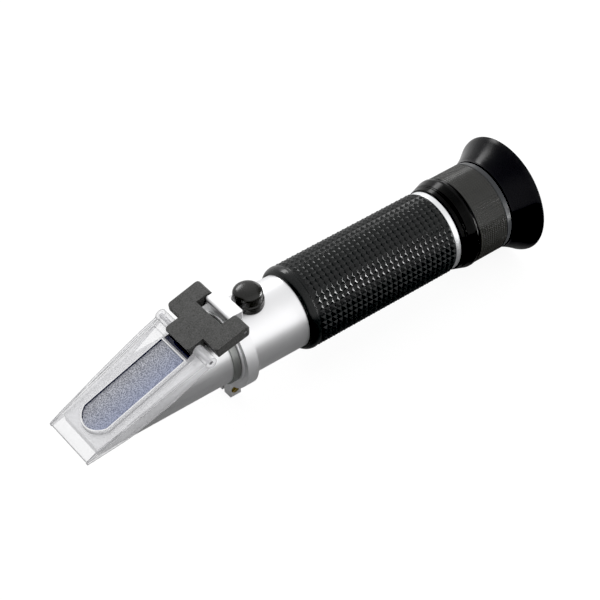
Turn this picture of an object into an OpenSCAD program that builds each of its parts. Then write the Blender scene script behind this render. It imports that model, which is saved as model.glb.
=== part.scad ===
// Handheld refractometer, lying level: prism end toward -X, eyepiece toward +X, prism face up.
// Millimetres. The origin is below the middle of the length, on the surface that carries it.

/* [Lengths along the tube, from the eyecup to the tip] */
// Length of the flared eyecup
cup_len = 9.4; // [8:0.1:14]
// Length of the focus ring with its flange
ring_len = 19.9; // [18.5:0.1:26]
// Length of the plain end ring
end_ring_len = 2.2; // [2:0.1:5]
// Length of the rubber grip
grip_len = 57.1; // [52:0.1:80]
// Length of bare tube between grip and collar
bare_tube_len = 20.5; // [17:0.1:30]
// Length of the hinge collar
collar_len = 3.9; // [3.6:0.1:5]
// How far the tube's front end stands before the collar
tube_nose = 0.5; // [0.3:0.05:0.8]
// Length of the dark neck ring
neck_ring_len = 2.4; // [1.6:0.1:3]
// Length of the prism housing in front of the neck ring
housing_len = 46.9; // [44:0.2:50]
// How far the cover plate reaches past the housing
cover_overhang = 4.6; // [3:0.1:7]

/* [Tube and sleeves on it] */
// Outer radius of the main tube
tube_r = 12; // [11.5:0.05:13]
// Wall of the main tube
tube_wall = 1.4; // [1.2:0.05:1.7]
// Thickness of the hinge collar on the tube
collar_thick = 2.05; // [1.8:0.05:2.4]
// Thickness of the end ring on the tube
end_ring_thick = 1.5; // [1:0.05:1.8]
// Thickness of the rubber grip over its studs
grip_thick = 1.9; // [1.6:0.05:3]
// Length of the grip's rounded front bead
grip_bead_len = 3.2; // [2.5:0.1:7]
// Distance between the grip's studs
stud_pitch = 2.7; // [2.4:0.1:4]
// Height of the grip's studs
stud_high = 0.8; // [0.4:0.05:0.9]

/* [Prism housing] */
// Step from the tube's surface down to the housing
housing_step = 1.3; // [1.1:0.05:1.6]
// Step from the tube's surface down to the dark neck ring
neck_ring_step = 0.7; // [0.4:0.05:0.9]
// Slope of the prism face, in degrees
face_slope = 19.7; // [18.5:0.1:20.5]
// Depth of the prism face under the housing's top at the pad's rear edge
face_drop = 2.7; // [2.5:0.05:3]
// Distance from the pad's rear edge to the housing's rear end
pad_setback = 12.5; // [12:0.1:14]
// Half width of the measuring prism
prism_half = 6.3; // [5.6:0.1:7]
// Depth of the prism below the tube axis
prism_depth = 6.3; // [5.8:0.1:7]
// Wall around the light channel behind the prism
channel_wall = 2.7; // [2.6:0.1:4]
// Length of the spigot that enters the tube
spigot_len = 6.5; // [5:0.1:7]

/* [Cover plate and hinge] */
// Half width of the cover at the tip
cover_tip_half = 10.1; // [9.6:0.05:10.8]
// Half width of the cover at its hinge barrels
cover_hinge_half = 13; // [12.7:0.05:13.6]
// Thickness of the cover's side walls
cover_wall = 0.9; // [0.7:0.05:1.2]
// Thickness of the clear plate
plate_thick = 1.1; // [0.8:0.05:1.3]
// Radius of the cover's hinge barrels
barrel_r = 1.9; // [1.7:0.02:1.95]
// Radius of the pin through the cover
cover_pin_r = 0.75; // [0.5:0.05:0.9]
// Radius of the pin through the collar
link_pin_r = 0.6; // [0.4:0.05:0.8]
// Half width of the black hinge link
link_half = 12.5; // [12:0.05:12.8]
// Thickness of the hinge link
link_thick = 3.45; // [3:0.05:3.6]
// Half width of the link's front tongue
tongue_half = 5.9; // [5:0.05:6.2]
// Half width of the lug on the collar
lug_half = 5.9; // [5:0.05:6.2]
// Distance between the two hinge pins along the tube
link_reach = 12.8; // [12.4:0.05:13]

/* [Clamp ears] */
// Half width of the clamp ears
ear_half = 3.8; // [3.4:0.05:4.5]
// How far the ears reach below the collar
ear_drop = 5.15; // [4.6:0.05:5.8]
// Width of the slit between the ears
ear_slit = 1.2; // [0.8:0.1:1.6]
// Radius of the clamp screw's thread
clamp_screw_r = 1; // [0.8:0.05:1.2]
// Radius of the clamp screw's head
clamp_head_r = 1.4; // [1.3:0.05:1.55]

/* [Calibration cap and screw] */
// Radius of the calibration cap's body
cap_r = 4.6; // [4.4:0.05:4.9]
// Radius of the calibration cap's foot
cap_foot_r = 4.95; // [4.9:0.05:5.1]
// Height of the cap above the tube's surface
cap_high = 6; // [5.6:0.1:7]
// Distance of the cap's axis from the collar
cap_offset = 6.8; // [6.6:0.05:7.5]
// Radius of the threaded bush under the cap
bush_r = 3.2; // [2.6:0.05:3.4]
// Radius of the calibration screw
cal_screw_r = 1.4; // [1.1:0.05:1.6]

/* [Focus ring and eyecup] */
// Wall of the knurled part over the snap ring's recess
knurl_wall = 2.25; // [1.8:0.05:3]
// Wall of the flange at its front edge
flange_wall = 2.25; // [1.8:0.05:2.6]
// How far the flange's bead stands over the knurl
bead_rise = 0.2; // [0.1:0.05:0.5]
// Length of the flange
flange_len = 6.7; // [6.4:0.1:9]
// Radius of the eyecup's open rim
cup_rim_r = 20; // [19:0.1:23]
// Thickness of the eyecup's wall at the rim
cup_wall = 1.2; // [0.9:0.1:2]
// Radius of the eyecup's throat
throat_r = 9; // [8.4:0.1:10]
// Length of the eyecup's throat
throat_len = 3; // [2:0.1:3.4]

/* [Optics] */
// Wall of the sleeve that guides the eyepiece
sleeve_wall = 1; // [0.8:0.05:1.2]
// Wall of the eyepiece barrel
barrel_wall = 1.35; // [1.2:0.05:1.6]
// Distance from the eyepiece barrel's front end to the eyecup's rim
barrel_reach = 46; // [44:0.5:50]
// Wall of the objective cell
cell_wall = 1.5; // [1.3:0.05:2]
// Distance of the reticle from the eyecup's rim
reticle_reach = 58; // [56:0.5:62]
// Travel of the eyepiece when the focus ring turns
focus_travel = 3; // [2:0.1:3.5]

/* [Hidden] */
$fn = 96;

// One overrun for every cut, then the running, loose and thin clearances
over = 1;
run_gap = 0.05;
loose_gap = 0.3;
thin_gap = 0.1;

// Radii that stack up on the main tube
tube_bore_r = tube_r - tube_wall;
collar_r = tube_r + collar_thick;
grip_r = tube_r + grip_thick;
end_ring_r = tube_r + end_ring_thick;
housing_r = tube_r - housing_step;
neck_ring_r = tube_r - neck_ring_step;
ear_depth = collar_r + ear_drop;
// The part rests on the eyecup's rim and the ears, whichever is lower sets the axis height
axis_z = max(cup_rim_r, ear_depth);
// Long enough to cut or fill across the whole part
wide = 2 * axis_z;

// Stations along X, from the eyecup's rim to the tip
total_len = cup_len + ring_len + end_ring_len + grip_len + bare_tube_len + collar_len + tube_nose
    + neck_ring_len + housing_len + cover_overhang;
rim_x = total_len / 2;
cup_x = rim_x - cup_len;
ring_x = cup_x - ring_len;
end_ring_x = ring_x - end_ring_len;
grip_x = end_ring_x - grip_len;
collar_back_x = grip_x - bare_tube_len;
collar_x = collar_back_x - collar_len;
tube_x = collar_x - tube_nose;
tube_end_x = ring_x - run_gap;
neck_x = tube_x - neck_ring_len;
housing_x = neck_x - housing_len;
tip_x = housing_x - cover_overhang;

// The prism face is a plane that slopes down toward the tip
pad_back_x = neck_x - pad_setback;
function face_z(x) = housing_r - face_drop + tan(face_slope) * (x - pad_back_x);
// A point given by its station along the face and its height square to it
function on_face(x, up) = [x - up * sin(face_slope), face_z(x) + up * cos(face_slope)];

// Hinge pins: one through the collar's lug, one through the cover's barrels
lug_rise = 0.85;
lug_nose_r = 1.4;
lug_forward = 0.8;
link_pin_x = collar_x + lug_forward;
link_pin_z = collar_r + lug_rise;
cover_pin_lift = 1.48;
cover_pin_x = link_pin_x - link_reach;
cover_pin_z = face_z(cover_pin_x) + cover_pin_lift;

// Calibration cap, bush and screw stand on this station
cap_x = collar_back_x + cap_offset;
bush_rise = 1.6;
bush_top = tube_r + bush_rise;

// Moves to a station and a height over the tube axis
module at(x, z = 0) {
    translate([x, 0, axis_z + z]) children();
}

// A disc, or a ring when it has a bore, around the tube axis
module along(x, len, r, bore = 0) {
    at(x) rotate([0, 90, 0]) difference() {
        cylinder(h = len, r = r);
        if (bore > 0) translate([0, 0, -over]) cylinder(h = len + 2 * over, r = bore);
    }
}

// A shape turned around the tube axis, from pairs of radius and station
module turned(points) {
    at(0) rotate([0, 90, 0]) rotate_extrude() polygon(points);
}

// A rod across the part, centred on the middle plane
module across(x, z, r, half) {
    at(x, z) rotate([90, 0, 0]) cylinder(h = 2 * half, r = r, center = true);
}

// A side view outline, pairs of station and height, as wide as twice the half width
module side_shape(points, half) {
    translate([0, half, axis_z]) rotate([90, 0, 0]) linear_extrude(height = 2 * half) polygon(points);
}

// A plan outline raised through the whole height
module plan_shape() {
    linear_extrude(height = 2 * wide) children();
}

// A rod from the axis side out through the tube's lowest line, between two radii
module downward(x, from, to, r) {
    at(x) mirror([0, 0, 1]) translate([0, 0, from]) cylinder(h = to - from, r = r);
}

// A rectangle with round corners
module round_rect(x1, x2, y1, y2, r) {
    translate([x1 + r, y1]) square([x2 - x1 - 2 * r, y2 - y1]);
    translate([x1, y1 + r]) square([x2 - x1, y2 - y1 - 2 * r]);
    for (x = [x1 + r, x2 - r], y = [y1 + r, y2 - r]) translate([x, y]) circle(r);
}

// Everything below the prism face, lowered by drop
module below_face(drop) {
    front = tip_x - over;
    side_shape([[front, face_z(front) - drop], [tube_x, face_z(tube_x) - drop], [tube_x, -wide],
        [front, -wide]], wide);
}

// Plan of the prism: straight sides and a round tip
prism_back_gap = 1.5;
prism_tip_wall = 1.6;
prism_round = 4.1;
prism_back_x = pad_back_x + prism_back_gap;
prism_tip_x = housing_x + prism_tip_wall;
prism_arc_r = (prism_half * prism_half + prism_round * prism_round) / (2 * prism_round);
prism_tip_high = 1.8;
prism_low = min(-prism_depth, face_z(prism_tip_x) - prism_tip_high);
module prism_plan(grow) {
    half = prism_half + grow;
    intersection() {
        translate([prism_tip_x - over, -half])
            square([prism_back_x + grow - prism_tip_x + over, 2 * half]);
        union() {
            translate([prism_tip_x + prism_arc_r, 0]) circle(prism_arc_r + grow);
            translate([prism_tip_x + prism_round, -half]) square([housing_len, 2 * half]);
        }
    }
}

// Plan of the cover, drawn in by inset on each side
cover_end_x = cover_pin_x + barrel_r;
module cover_plan(inset) {
    polygon([[tip_x, -cover_tip_half + inset], [tip_x, cover_tip_half - inset],
        [cover_end_x, cover_hinge_half - inset], [cover_end_x, -cover_hinge_half + inset]]);
}

// Side walls of the cover: shares of its length, and of the skirt's and the wall's height
wall_high = 2.7;
skirt_deep = 2.9;
skirt_shares = [[0, 0.13], [0.314, 1], [0.668, 0.84], [0.95, 0]];
wall_shares = [[0.957, 0.88], [0.754, 1], [0.393, 0.75], [0, 0.17]];
cover_len = cover_end_x - tip_x;
function beside_face(share, up) = [tip_x + share * cover_len, face_z(tip_x + share * cover_len) + up];
skirt_line = [for (p = skirt_shares) beside_face(p[0], -p[1] * skirt_deep)];
wall_line = [for (p = wall_shares) beside_face(p[0], p[1] * wall_high)];

// Prism housing with its neck, and a spigot that enters the tube
nose_len = 4.8;
nose_rise = 4.2;
neck_core_drop = 0.4;
neck_core_r = tube_bore_r - neck_core_drop;
channel_r = housing_r - channel_wall;
relief_gap = 0.25;
relief_low = 0.5;
o_ring_r = 0.55;
o_ring_inset = 3.5;
o_ring_x = tube_x + o_ring_inset;
o_groove_len = 1.2;
module prism_housing() color("silver") difference() {
    union() {
        intersection() {
            along(housing_x, housing_len, housing_r);
            below_face(0);
        }
        along(neck_x - over, neck_ring_len + 2 * over, neck_core_r);
        along(tube_x, spigot_len, tube_bore_r);
    }
    side_shape([[housing_x - over, -wide], [housing_x + nose_len, -wide], [housing_x + nose_len, -housing_r],
        [housing_x, nose_rise - housing_r], [housing_x - over, nose_rise - housing_r]], wide);
    at(0, prism_low) plan_shape() prism_plan(loose_gap);
    along(prism_back_x, tube_x + spigot_len + over - prism_back_x, channel_r);
    across(cover_pin_x, cover_pin_z, barrel_r + loose_gap, wide);
    skirt_relief();
    along(o_ring_x - o_groove_len / 2, o_groove_len, tube_bore_r + over, tube_bore_r - 2 * o_ring_r);
}

// Shallow flats that give the cover's skirts room at both sides
module skirt_relief() {
    intersection() {
        plan_shape() difference() {
            translate([tip_x - over, -wide]) square([cover_len + over, 2 * wide]);
            cover_plan(cover_wall + relief_gap);
        }
        side_shape(concat([for (p = skirt_line) p - [0, relief_low]], [for (p = wall_line) p + [0, wide]]),
            wide);
    }
}

// Glass prism: its top lies in the prism face
module measuring_prism() color("slategray") intersection() {
    at(0, prism_low) plan_shape() prism_plan(0);
    below_face(0);
}

// Thin seal around the prism's upper edge
seal_high = 1.2;
module prism_seal() color([0.1, 0.1, 0.1]) intersection() {
    plan_shape() difference() {
        prism_plan(loose_gap);
        prism_plan(0);
        translate([prism_back_x, -wide]) square([wide, 2 * wide]);
    }
    difference() {
        below_face(thin_gap);
        below_face(thin_gap + seal_high);
    }
}

module neck_ring() color([0.3, 0.3, 0.3]) along(neck_x, neck_ring_len, neck_ring_r, neck_core_r);

module housing_o_ring() color([0.08, 0.08, 0.08]) at(o_ring_x) rotate([0, 90, 0])
    rotate_extrude() translate([tube_bore_r - o_ring_r, 0]) circle(o_ring_r);

// Split collar with the hinge lug on top and the clamp ears below
lug_back = 0.9;
lug_corner = 0.6;
screw_x = collar_x + collar_len / 2;
screw_z = -(collar_r + ear_depth) / 2;
head_inset = 0.1;
head_high = 0.8;
head_seat_y = -ear_half + head_inset + head_high;
module hinge_collar() color("gainsboro") difference() {
    union() {
        along(collar_x, collar_len, collar_r);
        hinge_lug();
        at(collar_x, -ear_depth) translate([0, -ear_half, 0])
            cube([collar_len, 2 * ear_half, ear_depth - tube_r]);
    }
    along(collar_x - wide, 2 * wide, tube_r);
    at(collar_x - over, -ear_depth - over) translate([0, -ear_slit / 2, 0])
        cube([collar_len + 2 * over, ear_slit, ear_depth]);
    across(screw_x, screw_z, clamp_screw_r, ear_half + over);
    at(screw_x, screw_z) translate([0, head_seat_y, 0]) rotate([90, 0, 0])
        cylinder(h = head_high + over, r = clamp_head_r + thin_gap);
    across(link_pin_x, link_pin_z, link_pin_r + run_gap, lug_half + over);
}

// Block on the collar that holds the rear hinge pin, with a round nose
module hinge_lug() {
    back_x = collar_back_x + lug_back;
    front_x = link_pin_x - lug_nose_r;
    intersection() {
        union() {
            across(link_pin_x, link_pin_z, lug_nose_r, lug_half);
            side_shape([[link_pin_x, link_pin_z + lug_nose_r], [back_x, link_pin_z + lug_nose_r],
                [back_x, collar_r - lug_back], [collar_back_x, tube_r], [collar_x, tube_r],
                [front_x, link_pin_z]], lug_half);
        }
        plan_shape() round_rect(front_x, back_x, -lug_half, lug_half, lug_corner);
    }
}

// Slotted brass screw through the ears: its head faces -Y
slot_wide = 0.45;
slot_deep = 0.4;
slot_turn = -30;
module clamp_screw() color("goldenrod") at(screw_x, screw_z) difference() {
    union() {
        translate([0, ear_half - thin_gap, 0]) rotate([90, 0, 0])
            cylinder(h = ear_half - thin_gap - head_seat_y, r = clamp_screw_r);
        translate([0, head_seat_y, 0]) rotate([90, 0, 0]) cylinder(h = head_high, r = clamp_head_r);
    }
    translate([0, head_seat_y - head_high, 0]) rotate([0, slot_turn, 0])
        cube([2 * clamp_head_r + over, 2 * slot_deep, slot_wide], center = true);
}

// Guide pin and strip screws: where they pass the tube wall, under the grip
guide_r = 1;
guide_inset = 6;
guide_x = end_ring_x - guide_inset;
strip_screw_r = 0.9;
strip_head_r = 1.7;
strip_head_deep = 0.9;
strip_head_inset = 0.2;
strip_screw_inset = 3.2;
strip_screw_step = 4;
strip_screw_x = [grip_x + strip_screw_inset, grip_x + strip_screw_inset + strip_screw_step];

module main_tube() color("lightgray") difference() {
    along(tube_x, tube_end_x - tube_x, tube_r, tube_bore_r);
    at(cap_x) cylinder(h = tube_r + over, r = bush_r);
    downward(guide_x, 0, tube_r + over, guide_r);
    for (x = strip_screw_x) {
        downward(x, 0, tube_r + over, strip_screw_r);
        downward(x, tube_r - strip_head_deep, tube_r + over, strip_head_r);
    }
}

// Threaded bush that carries the calibration screw
module screw_bush() color("darkgoldenrod") difference() {
    at(cap_x) cylinder(h = bush_top, r = bush_r);
    along(cap_x - bush_r - over, 2 * (bush_r + over), tube_bore_r);
    at(cap_x) cylinder(h = bush_top + over, r = cal_screw_r + run_gap);
}

// Rubber grip: a quarter ellipse rounds its front bead, and crossed grooves leave studs behind it
bead_steps = 12;
bead_groove_len = 0.7;
stud_crest = 0.5;
long_groove_extra = 0.1;
stud_x = grip_x + grip_bead_len + bead_groove_len;
stud_rows = round((end_ring_x - stud_x) / stud_pitch);
stud_row_len = (end_ring_x - stud_x) / stud_rows;
studs_around = round(2 * PI * grip_r / stud_pitch);
stud_turn = 360 / studs_around;
stud_floor_r = grip_r - stud_high;
long_groove_x = stud_x - bead_groove_len / 2;
module grip_sleeve() color([0.12, 0.12, 0.12]) difference() {
    turned(concat(
        [[tube_r, grip_x]],
        [for (i = [1 : bead_steps]) let (a = 90 * i / bead_steps)
            [tube_r + grip_thick * sin(a), grip_x + grip_bead_len * (1 - cos(a))]],
        [for (i = [0 : stud_rows - 1]) let (x = stud_x + i * stud_row_len)
            each [[stud_floor_r, x], [grip_r, x + stud_row_len / 2]]],
        [[stud_floor_r, end_ring_x], [tube_r, end_ring_x]]));
    for (i = [0 : studs_around - 1]) long_groove(i * stud_turn);
}

// A groove along the grip, deeper than the grooves around it
module long_groove(turn) {
    deep = stud_high + long_groove_extra;
    half = (grip_r * stud_turn * PI / 180 - stud_crest) / 2;
    spread = half * (deep + over) / deep;
    at(0) rotate([turn, 0, 0]) translate([long_groove_x, 0, 0]) rotate([90, 0, 90])
        linear_extrude(end_ring_x - long_groove_x + over)
        polygon([[0, grip_r - deep], [spread, grip_r + over], [-spread, grip_r + over]]);
}

module end_ring() color("whitesmoke") along(end_ring_x, tube_end_x - end_ring_x, end_ring_r, tube_r);

// Objective cell: flat on top for the screw's tip, flat below over the strip
cell_room = 1.6;
cell_r = tube_bore_r - cell_room;
cell_flat = 0.4;
cell_len = 11;
cell_lead = 2.7;
cell_lip = 1;
cell_x = cap_x - cell_lead;
cell_bore_r = cell_r - cell_wall;
objective_r = cell_bore_r - run_gap;
lens_seat = 4;
objective_x = cell_x + lens_seat;
objective_edge = 2.2;
module objective_cell() color([0.15, 0.15, 0.15]) intersection() {
    difference() {
        along(cell_x, cell_len, cell_r, cell_bore_r - cell_lip);
        along(objective_x, cell_len, cell_bore_r);
    }
    at(cell_x + cell_len / 2) cube([cell_len + over, 2 * cell_r + over, 2 * (cell_r - cell_flat)], center = true);
}

// A lens with a flat edge that seats it, and a dome on each side within the edge
module lens(x, r, edge, rim, front_bulge, back_bulge) {
    at(x) rotate([0, 90, 0]) rotate_extrude() {
        square([r, edge]);
        mirror([0, 1]) dome(r - rim, front_bulge);
        translate([0, edge]) dome(r - rim, back_bulge);
    }
}
module dome(r, bulge) {
    ball_r = (r * r + bulge * bulge) / (2 * bulge);
    intersection() {
        translate([0, bulge - ball_r]) circle(ball_r, $fn = 720);
        square([r, bulge]);
    }
}
round_bulge = 0.8;
slight_bulge = 0.3;
lens_rim = 1.1;
module objective_lens() color([0.75, 0.85, 0.95])
    lens(objective_x, objective_r, objective_edge, lens_rim, slight_bulge, round_bulge);

ring_nut_len = 1.5;
module objective_ring() color([0.1, 0.1, 0.1])
    along(objective_x + objective_edge, ring_nut_len, cell_bore_r, cell_bore_r - cell_lip);

// Strip that moves the objective cell as the temperature changes, its block and its screws
strip_half = 3;
strip_thick = 0.6;
strip_lead = 2;
strip_top = cell_r - cell_flat + loose_gap;
strip_x = cap_x - strip_lead;
strip_end_x = strip_screw_x[1] + strip_head_r;
module bimetal_strip() color("peru") difference() {
    at(strip_x, -strip_top - strip_thick) translate([0, -strip_half, 0])
        cube([strip_end_x - strip_x, 2 * strip_half, strip_thick]);
    for (x = strip_screw_x) downward(x, 0, tube_r, strip_screw_r);
}
module strip_block() color("gray") difference() {
    intersection() {
        at(strip_screw_x[0] - strip_head_r, -wide) translate([0, -strip_half, 0])
            cube([strip_screw_step + 2 * strip_head_r, 2 * strip_half, wide - strip_top - strip_thick]);
        along(grip_x - over, grip_len, tube_bore_r);
    }
    for (x = strip_screw_x) downward(x, 0, tube_r, strip_screw_r);
}
module strip_screws() color("dimgray") for (x = strip_screw_x) {
    downward(x, strip_top, tube_r - strip_head_deep + thin_gap, strip_screw_r);
    downward(x, tube_r - strip_head_deep, tube_r - strip_head_inset, strip_head_r);
}

// Light baffle half way along, and the reticle in its holder
baffle_thick = 1;
baffle_hole_share = 0.52;
reticle_x = rim_x - reticle_reach;
baffle_x = (strip_end_x + reticle_x) / 2;
module light_baffle() color([0.05, 0.05, 0.05])
    along(baffle_x, baffle_thick, tube_bore_r, tube_bore_r * baffle_hole_share);
reticle_thick = 1.5;
holder_wall = 1.6;
holder_len = 4;
holder_lip = 1;
reticle_seat_r = tube_bore_r - holder_wall;
module reticle() color([0.8, 0.9, 0.95]) along(reticle_x, reticle_thick, reticle_seat_r - run_gap);
module reticle_holder() color([0.1, 0.1, 0.1]) difference() {
    along(reticle_x - holder_lip, holder_len, tube_bore_r, reticle_seat_r - holder_lip);
    along(reticle_x, holder_len, reticle_seat_r);
}

// Sleeve fixed in the tube's rear end: the focus ring turns on its outer part
sleeve_in = 19;
sleeve_out = 6.3;
bearing_drop = 0.4;
clip_groove_deep = 0.6;
clip_rise = 0.6;
clip_thick = 0.8;
clip_land = 0.4;
sleeve_bore_r = tube_bore_r - sleeve_wall;
bearing_r = tube_r - bearing_drop;
clip_groove_r = bearing_r - clip_groove_deep;
clip_r = tube_r + clip_rise;
clip_x = ring_x + sleeve_out - clip_land - clip_thick;
module rear_sleeve() color("darkgray") difference() {
    union() {
        along(tube_end_x - sleeve_in, sleeve_in, tube_bore_r);
        along(tube_end_x, sleeve_out, bearing_r);
    }
    along(tube_end_x - sleeve_in - over, sleeve_in + sleeve_out + 2 * over, sleeve_bore_r);
    along(clip_x, clip_thick, bearing_r + over, clip_groove_r);
    downward(guide_x, 0, tube_r, guide_r);
}

// Open snap ring that keeps the focus ring on the sleeve
clip_mouth = 4;
module focus_clip() color("steelblue") difference() {
    along(clip_x, clip_thick, clip_r, clip_groove_r);
    at(clip_x - over) translate([0, -clip_mouth / 2, 0])
        cube([clip_thick + 2 * over, clip_mouth, clip_r + over]);
}

// Eyepiece barrel: slides in the sleeve, and its slot on the guide pin keeps it from turning
barrel_tube_r = sleeve_bore_r - run_gap;
lens_bore_r = barrel_tube_r - barrel_wall;
barrel_lip = 1;
barrel_lip_len = 2;
cup_flange_rise = 3;
cup_flange_len = 1.4;
cup_flange_r = barrel_tube_r + cup_flange_rise;
slot_deep_in = 0.75;
slot_floor_r = barrel_tube_r - slot_deep_in;
barrel_x = rim_x - barrel_reach;
flange_x = cup_x + thin_gap;
slot_x = guide_x - focus_travel - guide_r - thin_gap;
module guide_pin() color("silver") downward(guide_x, slot_floor_r + thin_gap, tube_r - thin_gap, guide_r);
module eyepiece_barrel() color([0.2, 0.2, 0.2]) difference() {
    union() {
        along(barrel_x, flange_x + cup_flange_len - barrel_x, barrel_tube_r);
        along(flange_x, cup_flange_len, cup_flange_r);
    }
    along(barrel_x - over, barrel_reach, lens_bore_r - barrel_lip);
    along(barrel_x + barrel_lip_len, barrel_reach, lens_bore_r);
    at(slot_x, -slot_floor_r - over) translate([0, -guide_r - run_gap, 0])
        cube([focus_travel + 2 * guide_r + 2 * thin_gap, 2 * (guide_r + run_gap), over]);
}

// What the barrel holds, from its front lip to its rear ring
eye_lens_r = lens_bore_r - run_gap;
field_edge = 2.2;
eye_edge = 3;
eye_inset = 0.6;
lens_ring_len = 2;
spacer_wall = 0.85;
field_x = barrel_x + barrel_lip_len;
spacer_x = field_x + field_edge;
lens_ring_x = flange_x - eye_inset;
eye_lens_x = lens_ring_x - eye_edge;
module field_lens() color([0.75, 0.85, 0.95])
    lens(field_x, eye_lens_r, field_edge, lens_rim, slight_bulge, round_bulge);
module lens_spacer() color([0.3, 0.3, 0.3])
    along(spacer_x, eye_lens_x - spacer_x, eye_lens_r, eye_lens_r - spacer_wall);
module eye_lens() color([0.75, 0.85, 0.95])
    lens(eye_lens_x, eye_lens_r, eye_edge, lens_rim, round_bulge, round_bulge);
module lens_ring() color([0.1, 0.1, 0.1])
    along(lens_ring_x, lens_ring_len, lens_bore_r, lens_bore_r - barrel_lip);

// Focus ring: cone, bead, groove and knurl outside; bearing, clip recess and thread inside
bead_len = 1;
groove_len = 1;
groove_deep = 0.25;
recess_len = 2;
recess_r = clip_r + loose_gap;
knurl_r = recess_r + knurl_wall;
flange_front_r = bearing_r + run_gap + flange_wall;
flange_bead_r = knurl_r + bead_rise;
knurl_x = ring_x + flange_len;
recess_x = clip_x - thin_gap;
module focus_ring() color([0.1, 0.1, 0.1]) difference() {
    turned([[0, ring_x], [flange_front_r, ring_x], [flange_bead_r, knurl_x - groove_len - bead_len],
        [flange_bead_r, knurl_x - groove_len], [knurl_r - groove_deep, knurl_x - groove_len / 2],
        [knurl_r, knurl_x], [knurl_r, cup_x - thin_gap], [0, cup_x - thin_gap]]);
    along(ring_x - over, recess_x - ring_x + over, bearing_r + run_gap);
    along(recess_x, recess_len, recess_r);
    along(ring_x, ring_len + over, barrel_tube_r + run_gap);
}

// Flared rubber eyecup: seated on the barrel's flange, with a straight throat
rim_round = 0.5;
cup_foot = 0.4;
cup_floor_wall = 2.4;
throat_x = flange_x + cup_flange_len + throat_len;
cup_base_r = knurl_r + run_gap;
cup_floor_r = cup_base_r - cup_floor_wall;
module eyecup() color([0.07, 0.07, 0.07]) difference() {
    turned([[0, flange_x], [cup_base_r, flange_x], [cup_base_r, flange_x + cup_foot],
        [cup_rim_r - rim_round / 2, rim_x - 2 * rim_round], [cup_rim_r, rim_x - rim_round],
        [cup_rim_r - rim_round / 2, rim_x], [cup_rim_r - cup_wall, rim_x], [cup_floor_r, throat_x],
        [0, throat_x]]);
    along(flange_x - over, cup_flange_len + over, cup_flange_r);
    along(flange_x, throat_x - flange_x + over, throat_r);
}

// Black hinge link: its tongue holds the cover's pin, its prongs hold the collar's
link_end_r = 1.85;
tongue_nose = 2.9;
tongue_lip = 1.3;
link_slope = 13;
link_corner = 1.2;
notch_setback = 10.6;
slot_setback = 3.5;
web_share = 0.35;
notch_x = link_pin_x - notch_setback;
prong_in = lug_half + loose_gap;
function link_z(x) = link_pin_z + link_end_r / cos(link_slope) + tan(link_slope) * (x - link_pin_x);
link_low = [notch_x + link_thick * tan(link_slope), link_z(notch_x) - link_thick];
module hinge_link() color([0.16, 0.16, 0.15]) difference() {
    intersection() {
        union() {
            side_shape([[notch_x, link_z(notch_x)], [link_pin_x - link_end_r * sin(link_slope),
                link_pin_z + link_end_r * cos(link_slope)], [link_pin_x, link_pin_z - link_end_r], link_low],
                link_half);
            across(link_pin_x, link_pin_z, link_end_r, link_half);
            tongue();
        }
        plan_shape() union() {
            round_rect(notch_x, link_pin_x + link_end_r, -link_half, link_half, link_corner);
            round_rect(cover_pin_x - tongue_nose, notch_x + 2 * link_corner, -tongue_half, tongue_half,
                link_corner);
        }
    }
    at(link_pin_x - slot_setback) translate([0, -prong_in, 0]) cube([wide, 2 * prong_in, wide]);
    across(link_pin_x, link_pin_z, link_pin_r, link_half + over);
    across(cover_pin_x, cover_pin_z, cover_pin_r + run_gap, tongue_half + over);
}

// The tongue's top runs on in the link's plane. Its lip stops the cover, which tips up until it meets the lip
module tongue() {
    side_shape([[cover_pin_x - tongue_nose, link_z(cover_pin_x - tongue_nose)], [notch_x, link_z(notch_x)],
        link_low, [cover_pin_x + barrel_r / 2, cover_pin_z - barrel_r * web_share], [cover_pin_x, cover_pin_z],
        [cover_pin_x - tongue_nose, cover_pin_z + tongue_lip]], tongue_half);
    across(cover_pin_x, cover_pin_z, barrel_r, tongue_half);
}
link_pin_inset = 0.1;
module link_pin() color("lightgray") across(link_pin_x, link_pin_z, link_pin_r, link_half - link_pin_inset);

// Clear cover: pad over the prism, plate, side walls with skirts and two hinge barrels
pad_lift = 0.1;
pad_thick = 0.4;
plate_low = pad_lift + pad_thick;
plate_top = plate_low + plate_thick;
barrel_in = tongue_half + loose_gap;
lip_len = 4.4;
lip_thick = 0.35;
lip_x = tip_x + lip_len;
plate_tail = 0.5;
plate_back_x = pad_back_x + plate_tail;
module cover_plate() color([0.85, 0.88, 0.95, 0.5]) difference() {
    union() {
        intersection() {
            side_shape(concat(skirt_line, wall_line), cover_hinge_half);
            plan_shape() difference() {
                cover_plan(0);
                cover_plan(cover_wall);
            }
        }
        intersection() {
            plan_shape() cover_plan(cover_wall / 2);
            side_shape([[tip_x, face_z(tip_x) + pad_lift], [tip_x, face_z(tip_x) + pad_lift + lip_thick],
                on_face(lip_x, plate_top), on_face(plate_back_x, plate_top), on_face(plate_back_x, plate_low),
                on_face(lip_x, plate_low)], wide);
        }
        intersection() {
            plan_shape() intersection() {
                prism_plan(0);
                translate([tip_x, -wide]) square([pad_back_x - tip_x, 2 * wide]);
            }
            difference() {
                below_face(-plate_low - plate_thick / 2);
                below_face(-pad_lift);
            }
        }
        for (side = [0, 1]) mirror([0, side, 0]) cover_barrel();
    }
    across(cover_pin_x, cover_pin_z, cover_pin_r, cover_hinge_half + over);
}

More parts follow.
